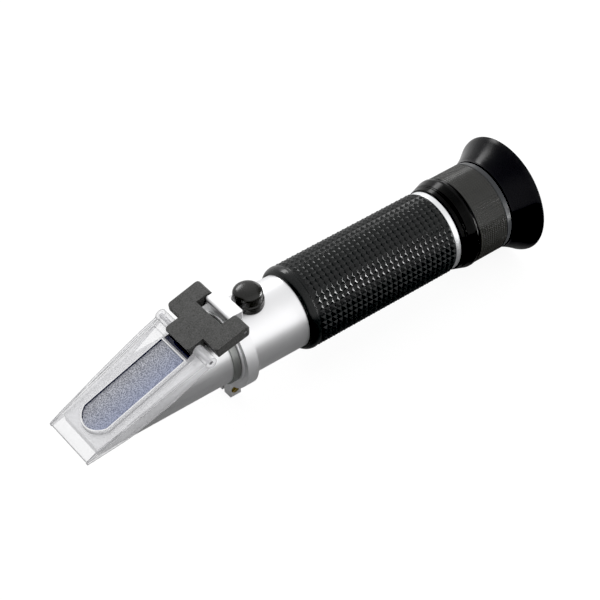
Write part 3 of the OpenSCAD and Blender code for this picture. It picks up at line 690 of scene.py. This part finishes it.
def groove_fillets(start, end, floor, around, wide):
    """Shallow rounded strips along the floors of the grooves between rows of studs."""
    bm = bmesh.new()
    bend = math.radians(FILL_SWEEP)
    ball = wide / 2 / math.sin(bend)
    section = [(ball * math.sin(t), ball * (math.cos(t) - math.cos(bend)))
               for t in (-bend, -bend / 2, 0, bend / 2, bend)]
    section += [(wide / 2, -FILL_SUNK), (-wide / 2, -FILL_SUNK)]
    for k in range(around):
        turn = FULL_TURN * (k + 0.5) / around
        rows = []
        for x in (start, end):
            rows.append([bm.verts.new(around_tube(x, floor + FILL_LIFT + up, turn + side / floor))
                         for side, up in section])
        count = len(section)
        for i in range(count):
            j = (i + 1) % count
            bm.faces.new((rows[0][i], rows[0][j], rows[1][j], rows[1][i]))
        bm.faces.new(rows[0])
        bm.faces.new(rows[1][::-1])
    bmesh.ops.recalc_face_normals(bm, faces=bm.faces)
    return shaded(from_bmesh("fillets", bm), FILL_CREASE, weighted=False)


def grip_piece():
    g = at["grip_sleeve"]
    start = g.x0 + BEAD_LEN + BEAD_GROOVE + STUDS_ON
    sleeve = shaded(turned("grip", grip_outline()), weighted=False)
    tree = stud_tree("grip studs", STUD_BASE_SHARE, STUD_TOP_SHARE, studded)
    floor = g.r - STUD_FLOOR_DROP
    grip = studded_with(sleeve, tree, Rows=STUD_ROWS, Around=STUDS_AROUND, Start=start,
                        Pitch=(g.x1 - start - STUDS_SHORT) / STUD_ROWS, Floor=floor, Height=STUD_FLOOR_DROP,
                        Axis_high=AXIS_HIGH)
    return put_together(grip, groove_fillets(start, g.x1 - FILL_SHORT, floor, STUDS_AROUND, FILL_WIDE))


# Focus ring.

FLANGE_LEN, BEAD_WIDE, GROOVE_WIDE, GROOVE_DEEP = 6.7, 1.0, 1.0, 0.4
KNURL_RISE, KNURL_ROWS, KNURLS_AROUND, KNURL_MARGIN = 0.15, 12, 108, 2.0
RUN_GAP, BEARING_R, RECESS_LEN, RING_BORE, FRONT_WALL = 0.05, 11.6, 2.0, 9.6, 2.25
CLIP_ROOM, CLIP_SIDE_ROOM = 0.3, 0.1
SCORE_SHARES = 0.30, 0.42     # where two fine lines run round the front flange
SCORE_LOW_AT, SCORE_WIDE, SCORE_DEEP = 0.12, 0.26, 0.14
KNURL_SINK = 0.2              # from the ring's bead down to the knurl's tops
KNURL_UNDER = 0.02            # from the knurl's floor down to the ring's own
KNURL_BASE_SHARE, KNURL_TOP_SHARE = 0.74, 0.12
BAND_STEP, BAND_PROUD, BAND_FALL = 0.1, 0.02, 0.2
SLEEVE_IN_FRONT, SLEEVE_IN_REAR, SLEEVE_THICK = 0.05, 0.03, 0.1


def focus_ring_piece():
    """The focus ring without its knurl: flange, bead, the floor under the knurl and the smooth rear band."""
    f, clip = at["focus_ring"], at["focus_clip"]
    knurl_x, front_r, knurl_r = f.x0 + FLANGE_LEN, BEARING_R + RUN_GAP + FRONT_WALL, f.r - KNURL_SINK
    recess_x, recess_r = clip.x0 - CLIP_SIDE_ROOM, clip.r + CLIP_ROOM
    bead_x, band_x = knurl_x - GROOVE_WIDE - BEAD_WIDE, f.x1 - KNURL_MARGIN
    floor = knurl_r - KNURL_RISE - KNURL_UNDER

    def cone(x):
        return front_r + (f.r - front_r) * (x - f.x0) / (bead_x - f.x0)

    outline = [(f.x0, BEARING_R + RUN_GAP, 0.1), (f.x0, front_r, 0.35)]
    for share in SCORE_SHARES:
        x = f.x0 + share * (bead_x - f.x0)
        outline += [(x, cone(x), 0.05), (x + SCORE_LOW_AT, cone(x) - SCORE_DEEP, 0.04),
                    (x + SCORE_WIDE, cone(x + SCORE_WIDE), 0.05)]
    outline += [(bead_x, f.r, 0.4), (knurl_x - GROOVE_WIDE, f.r, 0.35),
                (knurl_x - GROOVE_WIDE / 2, knurl_r - GROOVE_DEEP, 0.2), (knurl_x, floor, 0.1),
                (band_x, floor, 0.05), (band_x + BAND_STEP, knurl_r + BAND_PROUD, 0.3),
                (f.x1, knurl_r - BAND_FALL, 0.3), (f.x1, RING_BORE, 0.1),
                (recess_x + RECESS_LEN, RING_BORE, 0), (recess_x + RECESS_LEN, recess_r, 0),
                (recess_x, recess_r, 0), (recess_x, BEARING_R + RUN_GAP, 0)]
    ring = shaded(turned("focus_grip", rounded(outline)), weighted=False)
    for finish in (black_plastic, band_sheen_plastic):
        ring.data.materials.append(finish)
    # Painted reflection: the faces of the rear band take the lighter band finish.
    for face in ring.data.polygons:
        face.material_index = 1 if face.center.x > band_x - KNURL_UNDER else 0
    return ring


def knurl_piece():
    """The knurled band, on a thin sleeve of its own."""
    f = at["focus_ring"]
    floor = f.r - KNURL_SINK - KNURL_RISE
    start, end = f.x0 + FLANGE_LEN + SLEEVE_IN_FRONT, f.x1 - KNURL_MARGIN - SLEEVE_IN_REAR
    inner = floor - SLEEVE_THICK
    sleeve = turned("knurl_band", [(start, inner), (start, floor), (end, floor), (end, inner)])
    sleeve.data.materials.append(black_plastic)
    tree = stud_tree("knurl", KNURL_BASE_SHARE, KNURL_TOP_SHARE, knurl_plastic)
    return studded_with(shaded(sleeve, weighted=False), tree, Rows=KNURL_ROWS, Around=KNURLS_AROUND,
                        Start=start, Pitch=(end - start) / KNURL_ROWS, Floor=floor, Height=KNURL_RISE,
                        Axis_high=AXIS_HIGH)


# Eyecup and eye lens.

THROAT_LEN, LIP_WALL, CUP_FLOOR_WALL, FOOT_LEN, FLANGE_THICK = 3.0, 1.2, 2.4, 0.4, 1.4
THROAT_R, CUP_BORE = 9.0, 12.55
FLARE_STEPS, FLARE_SAG, FLARE_SHORT = 10, 0.35, 1.0
LIP_BACK, LIP_DOWN, LIP_ROLL = 0.35, 0.25, 0.45


def eyecup_piece():
    c = at["eyecup"]
    foot = at["focus_ring"].r - KNURL_SINK + RUN_GAP
    floor_x, lip_x, seat_x = c.x0 + FLANGE_THICK + THROAT_LEN, c.x1 - LIP_BACK, c.x0 + FLANGE_THICK
    flare_front, flare_back = c.x0 + FOOT_LEN, c.x1 - FLARE_SHORT
    lip_r, floor_r = c.r - LIP_WALL, foot - CUP_FLOOR_WALL
    outside, inside = [], []
    for k in range(FLARE_STEPS + 1):
        s = k / FLARE_STEPS
        sag = FLARE_SAG * math.sin(math.pi * s)
        outside.append((flare_front + (flare_back - flare_front) * s,
                        foot + (c.r - LIP_DOWN - foot) * s - sag, 0))
        inside.append((lip_x - (lip_x - floor_x) * s, lip_r - (lip_r - floor_r) * s, 0))
    outline = ([(c.x0, CUP_BORE, 0), (c.x0, foot, 0.15)] + outside
               + [(lip_x, c.r, 0.3), (c.x1, c.r - LIP_ROLL, 0.3), (c.x1, lip_r + LIP_DOWN, 0.25)] + inside
               + [(floor_x, THROAT_R, 0.5), (seat_x, THROAT_R, 0.1), (seat_x, CUP_BORE, 0)])
    return turned("eye_cup", rounded(outline), steps=180)


LENS_RIM, LENS_BULGE, LENS_STEPS = 1.1, 0.8, 12


def eye_lens_piece():
    """A lens with two bulging faces inside a flat rim."""
    e = at["eye_lens"]
    edge_front, edge_back, r = e.x0 + LENS_BULGE, e.x1 - LENS_BULGE, e.r - LENS_RIM
    ball = (r * r + LENS_BULGE ** 2) / (2 * LENS_BULGE)
    heights = [r * k / LENS_STEPS for k in range(LENS_STEPS + 1)]
    front = [(e.x0 + ball - math.sqrt(ball ** 2 - h ** 2), h) for h in heights]
    back = [(e.x1 - ball + math.sqrt(ball ** 2 - h ** 2), h) for h in reversed(heights)]
    return turned("eye_glass", front + [(edge_front, e.r), (edge_back, e.r)] + back, steps=96)


# Cap, screw and pins.

CAP_FOOT_RISE, CAP_STEP, CAP_DOME, CAP_ROOF, CAP_BORE = 1.4, 0.3, 2.3, 3.0, 3.25
CAP_SHOULDER, CAP_STEPS, CAP_SEAT = 0.35, 16, 0.1
SADDLE_HIGH = 0.35            # the cap's foot follows the tube up to this height
DOME_RISE, DOME_SIDE = 0.9, 0.75      # powers that square the dome a little
BUSH_BORE, PIN_CHAMFER = 1.45, 0.15


def saddle(piece, below, tube_r):
    """Lets every vertex under a height down onto a cylinder round the tube's axis."""
    for v in piece.data.vertices:
        if v.co.z < below:
            v.co.z += math.sqrt(tube_r ** 2 - v.co.y ** 2) - tube_r
    return piece


def cap_piece():
    c, tube_r = at["calibration_cap"], at["main_tube"].r + CAP_SEAT
    base = AXIS_HIGH + tube_r
    top, foot_top = c.z1 - base, CAP_FOOT_RISE
    body_r = c.r - CAP_SHOULDER
    turns = [math.pi / 2 * k / CAP_STEPS for k in range(1, CAP_STEPS + 1)]
    dome = [(top - CAP_DOME + CAP_DOME * math.sin(t) ** DOME_RISE, body_r * math.cos(t) ** DOME_SIDE, 0)
            for t in turns[:-1]]
    foot = [(0, CAP_BORE, 0), (0, c.r, 0.12), (foot_top, c.r, 0.25), (foot_top + CAP_STEP, body_r, 0.2)]
    roof = [(top - CAP_ROOF, 0, 0), (top - CAP_ROOF, CAP_BORE, 0.1)]
    outline = rounded(foot + [(top - CAP_DOME, body_r, 0)] + dome + [(top, 0, 0)] + roof, steps=8)
    return saddle(turned("cap", outline, 96, around_post(c.mid_x, base)), base + SADDLE_HIGH, tube_r)


def bush_piece():
    b = at["screw_bush"]
    low = AXIS_HIGH + TUBE_BORE
    tall = b.z1 - low
    outline = rounded([(0, BUSH_BORE, 0), (0, b.r, 0), (tall, b.r, 0.25), (tall, BUSH_BORE, 0.2)])
    return turned("bush", outline, 64, around_post(b.mid_x, low))


def pin_piece(node, name):
    p = at[node]
    r = (p.z1 - p.z0) / 2
    outline = rounded([(p.y0, 0, 0), (p.y0, r, PIN_CHAMFER), (p.y1, r, PIN_CHAMFER), (p.y1, 0, 0)])
    return turned(name, outline, 48, around_pin(p.mid_x, p.mid_z))


# Pad on the cover.

PAD_SETBACK = 1.9             # from the prism's rear end to the pad's
FRAME_WIDE = 0.5              # the frame round the pad
FRAME_LOW, FRAME_HIGH = 0.13, 1.45      # over the prism's face
PAD_LOW, PAD_HIGH = 0.15, 0.85
PAD_GAP = 0.02                # round the frame, and between it and the pad
PAD_EDGE, FRAME_EDGE = 0.06, 0.1
MITRE_LEAST = 0.3
# An inner wall that looks far enough toward the rear takes the dark prism glass: painted shade for the deep
# pocket.
INNER_WALL, SHADE_LOOKS_REAR = 2, 0.5         # the side of the frame's section that looks at the pad


def prism_face():
    """The outline of the prism's face, cut off behind the pad, and the way that the face looks."""
    plan = copy_of("measuring_prism", "outline")
    bm = bmesh.new()
    bm.from_mesh(plan.data)
    bpy.data.objects.remove(plan)
    top = max(bm.faces, key=lambda face: face.calc_area() * max(0.0, face.normal.z))
    up = top.normal.copy()
    back = at["measuring_prism"].x1 - PAD_SETBACK
    bmesh.ops.delete(bm, geom=[face for face in bm.faces if face is not top], context="FACES")
    bmesh.ops.bisect_plane(bm, geom=bm.verts[:] + bm.edges[:] + bm.faces[:], plane_co=(back, 0, 0),
                           plane_no=(1, 0, 0), clear_outer=True)
    points = [v.co.copy() for v in bm.faces[:][0].verts]
    bm.free()
    return points, up


def drawn_in(points, up, by):
    """An outline that runs round its normal, moved inwards all round."""
    inner = []
    for i, here in enumerate(points):
        one = up.cross((here - points[i - 1]).normalized())
        two = up.cross((points[(i + 1) % len(points)] - here).normalized())
        mitre = (one + two).normalized()
        inner.append(here + mitre * by / max(MITRE_LEAST, mitre.dot(one)))
    return inner


def slab_of(name, points, up, low, high):
    """An outline given a thickness between two heights over its own plane."""
    slab = prism_of([p + up * low for p in points], up * (high - low))
    slab.name = name
    return slab


def pad_piece():
    points, up = prism_face()
    plan = drawn_in(points, up, FRAME_WIDE + PAD_GAP)
    return softened(slab_of("frosted_pad", plan, up, PAD_LOW, PAD_HIGH), PAD_EDGE)


def pad_frame_piece():
    """The moulded frame round the pad. Its inner wall on the far side takes the dark prism glass, painted
    shade where the deep pocket shows.
    """
    points, up = prism_face()
    loops = [[p + up * height for p in drawn_in(points, up, inset)] for inset, height in (
        (PAD_GAP, FRAME_LOW), (PAD_GAP, FRAME_HIGH), (FRAME_WIDE, FRAME_HIGH), (FRAME_WIDE, FRAME_LOW))]
    bm = bmesh.new()
    rows = [[bm.verts.new(p) for p in loop] for loop in loops]
    count = len(points)
    for j in range(4):
        here, there = rows[j], rows[(j + 1) % 4]
        for i in range(count):
            k = (i + 1) % count
            face = bm.faces.new((here[i], here[k], there[k], there[i]))
            face.normal_update()
            looks = (points[k] - points[i]).normalized().cross(up)
            # Painted shade: only the far inner wall gets the dark slot.
            face.material_index = 1 if j == INNER_WALL and looks.y > SHADE_LOOKS_REAR else 0
    bmesh.ops.recalc_face_normals(bm, faces=bm.faces)
    return softened(from_bmesh("pad_frame", bm), FRAME_EDGE, steps=2)


# Cover.

COVER_EDGE = 0.36             # the size of its rounded edges
OPENING_LOW, OPENING_HIGH = -1.0, 4.0                 # of the pad's opening, over the prism's face
BEHIND_LAP, BEHIND_LEN, BEHIND_HALF, BEHIND_HIGH = 0.2, 3.2, 6.3, 20.0      # of the opening behind the pad's
# Where the painted shade bars stand inside the cover's outer edges.
LINES_FROM_Y, LINES_AT_TIP = 7.6, 4.5                 # bars stand this far out, or this near the tip
LINE_LEAST, LINE_THICK = 0.25, 0.2


def cover_piece():
    """The clear cover: the CAD plate with the pad's opening, and open over the prism behind the pad."""
    cover = copy_of("cover_plate", "cover")
    points, up = prism_face()
    opening = slab_of("cutter", points, up, OPENING_LOW, OPENING_HIGH)
    back = at["measuring_prism"].x1 - PAD_SETBACK
    behind = block((back - BEHIND_LAP, back + BEHIND_LEN), (-BEHIND_HALF, BEHIND_HALF),
                   (AXIS_HIGH, AXIS_HIGH + BEHIND_HIGH))
    cover = less(cover, opening, behind)
    cover.data.materials.clear()
    cover.data.materials.append(clear)
    cover.data.materials.append(clear_edge_shade)
    for face in cover.data.polygons:
        face.material_index = 0
    # The rounds and the bars inside the outer edges take the darker edge finish: painted shade.
    return put_together(softened(cover, COVER_EDGE, edge_slot=1), edge_lines())


def edge_lines():
    """Painted shade for what the clear cover's walls look like edge on: thin dark bars just inside its sharp
    outer edges.
    """
    plate = copy_of("cover_plate", "edges")
    source, lines = bmesh.new(), bmesh.new()
    source.from_mesh(plate.data)
    source.normal_update()
    bpy.data.objects.remove(plate)
    for edge in source.edges:
        middle = (edge.verts[0].co + edge.verts[1].co) / 2
        outer = abs(middle.y) > LINES_FROM_Y or middle.x < at["cover_plate"].x0 + LINES_AT_TIP
        sharp = len(edge.link_faces) == 2 and edge.calc_face_angle(0) > SHARP
        if not (outer and sharp and edge.calc_length() > LINE_LEAST):
            continue
        inward = -(edge.link_faces[0].normal + edge.link_faces[1].normal).normalized()
        along = (edge.verts[1].co - edge.verts[0].co).normalized()
        side = along.cross(inward).normalized()
        pull = along * min(LINE_THICK, edge.calc_length() / 4)
        ends = (edge.verts[0].co + pull + inward * LINE_THICK, edge.verts[1].co - pull + inward * LINE_THICK)
        rings = [[lines.verts.new(end + (inward * u + side * w) * LINE_THICK / 2)
                  for u, w in ((1, 0), (0, 1), (-1, 0), (0, -1))] for end in ends]
        for i in range(4):
            j = (i + 1) % 4
            lines.faces.new((rings[0][i], rings[0][j], rings[1][j], rings[1][i]))
        lines.faces.new(rings[0])
        lines.faces.new(rings[1][::-1])
    bmesh.ops.recalc_face_normals(lines, faces=lines.faces)
    for face in lines.faces:
        face.material_index = 1
    source.free()
    return from_bmesh("edge_lines", lines)


# The hinge's link.

LINK_DROP, TONGUE_ON, WINDOW_ON = 0.75, 0.5, 0.8        # how far its top and its two front walls move
LINK_SLOPE, TONGUE_LEN, LINK_EDGE = math.tan(math.radians(13)), 1.3, 0.3
WINDOW_SETBACK, WINDOW_HALF, NEAR = 3.5, 6.6, 0.05


def link_piece():
    """The link, a little thinner toward the cover, with its tongue and its window drawn forward."""
    link = copy_of("hinge_link", "link_arm")
    front_x, rear_x = at["hinge_link"].x0, at["link_pin"].mid_x
    top = max(link.data.vertices, key=lambda v: v.co.z - LINK_SLOPE * v.co.x).co.copy()
    for v in link.data.vertices:
        if abs(v.co.z - top.z - LINK_SLOPE * (v.co.x - top.x)) < NEAR:
            v.co.z -= LINK_DROP * max(0.0, rear_x - v.co.x) / (rear_x - front_x)
        if v.co.x < front_x + TONGUE_LEN:
            v.co.x -= TONGUE_ON
        if abs(v.co.x - rear_x + WINDOW_SETBACK) < NEAR and abs(v.co.y) < WINDOW_HALF:
            v.co.x -= WINDOW_ON
    return softened(link, LINK_EDGE)


# Putting the pieces on.

def build_pieces():
    dress(shaded(tube_piece()), satin, "instrument", ["main_tube"])
    dress_round(end_ring_piece(), bright, "instrument", "end_ring")
    dress_round(neck_ring_piece(), darkened, "instrument", "neck_ring")
    dress(grip_piece(), studded, "instrument", ["grip_sleeve"])
    dress(focus_ring_piece(), [black_plastic, band_sheen_plastic], "ring", ["focus_ring"])
    dress(knurl_piece(), [black_plastic, knurl_plastic], "ring")
    dress(pad_piece(), pad_finish, "cover")
    dress_round(eyecup_piece(), cup_rubber, "eyepiece", "eyecup")
    dress_round(eye_lens_piece(), lens_finish, "eyepiece", "eye_lens")
    dress_round(cap_piece(), gloss_black, "cap", "calibration_cap")
    dress_round(bush_piece(), brass, "instrument", "screw_bush")
    dress_round(pin_piece("link_pin", "collar_pin"), steel, "link", "link_pin")
    dress_round(pin_piece("cover_pin", "cover_axle"), steel, "cover", "cover_pin")
    # The measuring prism takes the dark prism finish, painted shade for the pocket seen through it.
    for node, name, width, finish, body, slot in (
            ("prism_housing", "housing", 0.22, satin, "instrument", "satin_alloy"),
            ("measuring_prism", "prism", 0.12, prism_shade_finish, "instrument", "prism_glass"),
            ("hinge_collar", "collar", 0.28, collar_metal, "instrument", "collar_alloy"),
            ("clamp_screw", "ear_screw", 0.1, brass, "instrument", "brass"),
            ("calibration_screw", "grub_screw", 0.1, steel, "screw", "steel")):
        dress(softened(copy_of(node, name), width), finish, body, [node])
    dress(link_piece(), link_plastic, "link", ["hinge_link"])
    dress(cover_piece(), [clear, clear_edge_shade], "cover", ["cover_plate"])
    # The frame's far inner wall takes the prism glass as painted shade.
    dress(pad_frame_piece(), [frame_finish, prism_shade_finish], "cover")


PLAIN_NODES = {
    "prism_seal": seal_rubber, "housing_o_ring": seal_rubber, "bimetal_strip": strip_metal,
    "strip_block": inner_metal, "strip_screws": steel, "light_baffle": black_plastic, "reticle": lens_finish,
    "reticle_holder": black_plastic, "rear_sleeve": inner_metal, "focus_clip": steel, "guide_pin": steel,
    "objective_cell": black_plastic, "objective_lens": lens_finish, "objective_ring": black_plastic,
    "eyepiece_barrel": black_plastic, "field_lens": lens_finish, "lens_spacer": inner_metal,
    "lens_ring": black_plastic}


def finish_plain_nodes():
    """The CAD nodes that stay as they are get their procedural finish."""
    for node, finish in PLAIN_NODES.items():
        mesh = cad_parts[node].data
        mesh.materials.clear()
        mesh.materials.append(finish)


# Studio.

FLOOR_TONE, FLOOR_GLOW, FLOOR_HALF = 0.14, 0.9, 6.0
DIM_NEAR, DIM_FAR = 0.23, 0.80          # the floor's tone in reflections, before the part and past it
DIM_FROM_Y, DIM_TO_Y = -0.02, 0.08
ROOM_LIGHT, ROOM_ENDS, FRONT_LIGHT = 0.92, 0.12, 1.3
ENDS_FROM, ENDS_FULL, FRONT_FROM, FRONT_FULL = 0.62, 0.88, -0.15, -0.6      # along the room's X and Y
TABLE_CARD_HIGH = 0.0006
BLACK_POINT = 0.017


def floor_finish():
    """A pale studio floor: bright where the camera sees it, and dimmer in the reflections on the part."""
    f = Finish("studio floor", Base_Color=grey(FLOOR_TONE), Roughness=0.9, Specular_IOR_Level=0.1)
    w = f.w
    glow = w.add("ShaderNodeEmission")
    w.feed(glow, {"Strength": FLOOR_GLOW})
    dim = w.add("ShaderNodeBsdfDiffuse")
    share = w.ramp(w.split(f.position)["Y"], DIM_FROM_Y, DIM_TO_Y)
    w.link(w.mix(share, grey(DIM_NEAR), grey(DIM_FAR)), dim.inputs["Color"])
    lit = w.add("ShaderNodeAddShader")
    w.feed(lit, {0: f.shader.outputs[0], 1: glow.outputs[0]})
    seen = w.add("ShaderNodeLightPath").outputs["Is Camera Ray"]
    pick = w.add("ShaderNodeMixShader")
    w.feed(pick, {0: seen, 1: dim.outputs[0], 2: lit.outputs[0]})
    w.link(pick.outputs[0], w.given("OUTPUT_MATERIAL").inputs["Surface"])
    return f.material


def soft_box(name, place, wide, tall, radiance):
    """A rectangle of light that the camera does not see. Radiance is how bright it looks, all over."""
    light = bpy.data.lights.new(name, "AREA")
    light.shape, light.size, light.size_y = "RECTANGLE", wide, tall
    light.energy = radiance * math.pi * wide * tall
    lamp = new_object(name, light)
    lamp.location = place
    lamp.visible_camera = False
    return lamp


def box_toward_part(name, direction, distance, wide, tall, radiance):
    """A soft box that looks at the middle of the part's axis from a direction."""
    away = Vector(direction).normalized()
    lamp = soft_box(name, Vector((0, 0, AXIS_HIGH * MM)) + away * distance, wide, tall, radiance)
    lamp.rotation_mode = "QUATERNION"
    lamp.rotation_quaternion = away.to_track_quat("Z", "Y")


def table_card(x, y, wide, tall, radiance):
    """A bright card that lies on the floor past the eyecup, and looks up."""
    lamp = soft_box("table card", (x, y, TABLE_CARD_HIGH), wide, tall, radiance)
    lamp.rotation_euler = (math.pi, 0, 0)


def studio_world():
    """White where the camera sees it.
    All round the part is a tent of light that is open, and dark, past the part's two ends."""
    world = bpy.data.worlds.new("studio")
    world.use_nodes = True
    w = Wiring(world.node_tree)
    shade = w.given("BACKGROUND")
    w.feed(shade, {"Color": grey(1.0)})
    way = w.split(w.add("ShaderNodeTexCoord").outputs["Generated"])
    ends = w.ramp(w.math("ABSOLUTE", way["X"]), ENDS_FROM, ENDS_FULL, ROOM_LIGHT, ROOM_ENDS)
    front = w.ramp(way["Y"], FRONT_FROM, FRONT_FULL, 1.0, FRONT_LIGHT)
    seen = w.add("ShaderNodeLightPath").outputs["Is Camera Ray"]
    w.link(w.math("MAXIMUM", w.math("MULTIPLY", ends, front), seen), shade.inputs["Strength"])
    bpy.context.scene.world = world


def studio():
    half = FLOOR_HALF
    floor = new_object("floor", bpy.data.meshes.new("floor"))
    floor.data.from_pydata([(-half, -half, 0), (half, -half, 0), (half, half, 0), (-half, half, 0)], [],
                           [(0, 1, 2, 3)])
    floor.data.materials.append(floor_finish())
    studio_world()
    box_toward_part("rear box", (0.10, 0.80, 0.54), 0.9, 0.44, 0.22, 7.0)
    box_toward_part("right rear card", (0.82, 0.56, 0.07), 0.6, 0.22, 0.12, 3.0)
    box_toward_part("right card", (0.94, -0.33, 0.0), 0.42, 0.20, 0.12, 22.0)
    table_card(0.24, -0.075, 0.20, 0.10, 14.0)
    view = bpy.context.scene.view_settings
    view.view_transform = "Standard"
    view.use_curve_mapping = True
    view.curve_mapping.black_level = (BLACK_POINT,) * 3


# Camera, as solved from the photograph.

EYE_AT = (-0.24379, -0.32699, 0.41096)
EYE_RIGHT, EYE_UP = (0.7921, -0.61023, -0.01516), (0.4301, 0.54034, 0.7232)
EYE_BACK = (-0.4331, -0.57936, 0.69046)
SENSOR, FOCAL_PIXELS, PICTURE_PIXELS = 36.0, 1850, 600
SEEN_FROM, SEEN_TO = 0.02, 30.0


def camera():
    data = bpy.data.cameras.new("camera")
    data.sensor_width, data.lens = SENSOR, SENSOR * FOCAL_PIXELS / PICTURE_PIXELS
    data.clip_start, data.clip_end = SEEN_FROM, SEEN_TO
    eye = new_object("camera", data)
    turn = Matrix((EYE_RIGHT, EYE_UP, EYE_BACK)).transposed().to_4x4()
    eye.matrix_world = Matrix.Translation(EYE_AT) @ turn
    bpy.context.scene.camera = eye


camera()
build_pieces()
finish_plain_nodes()
studio()
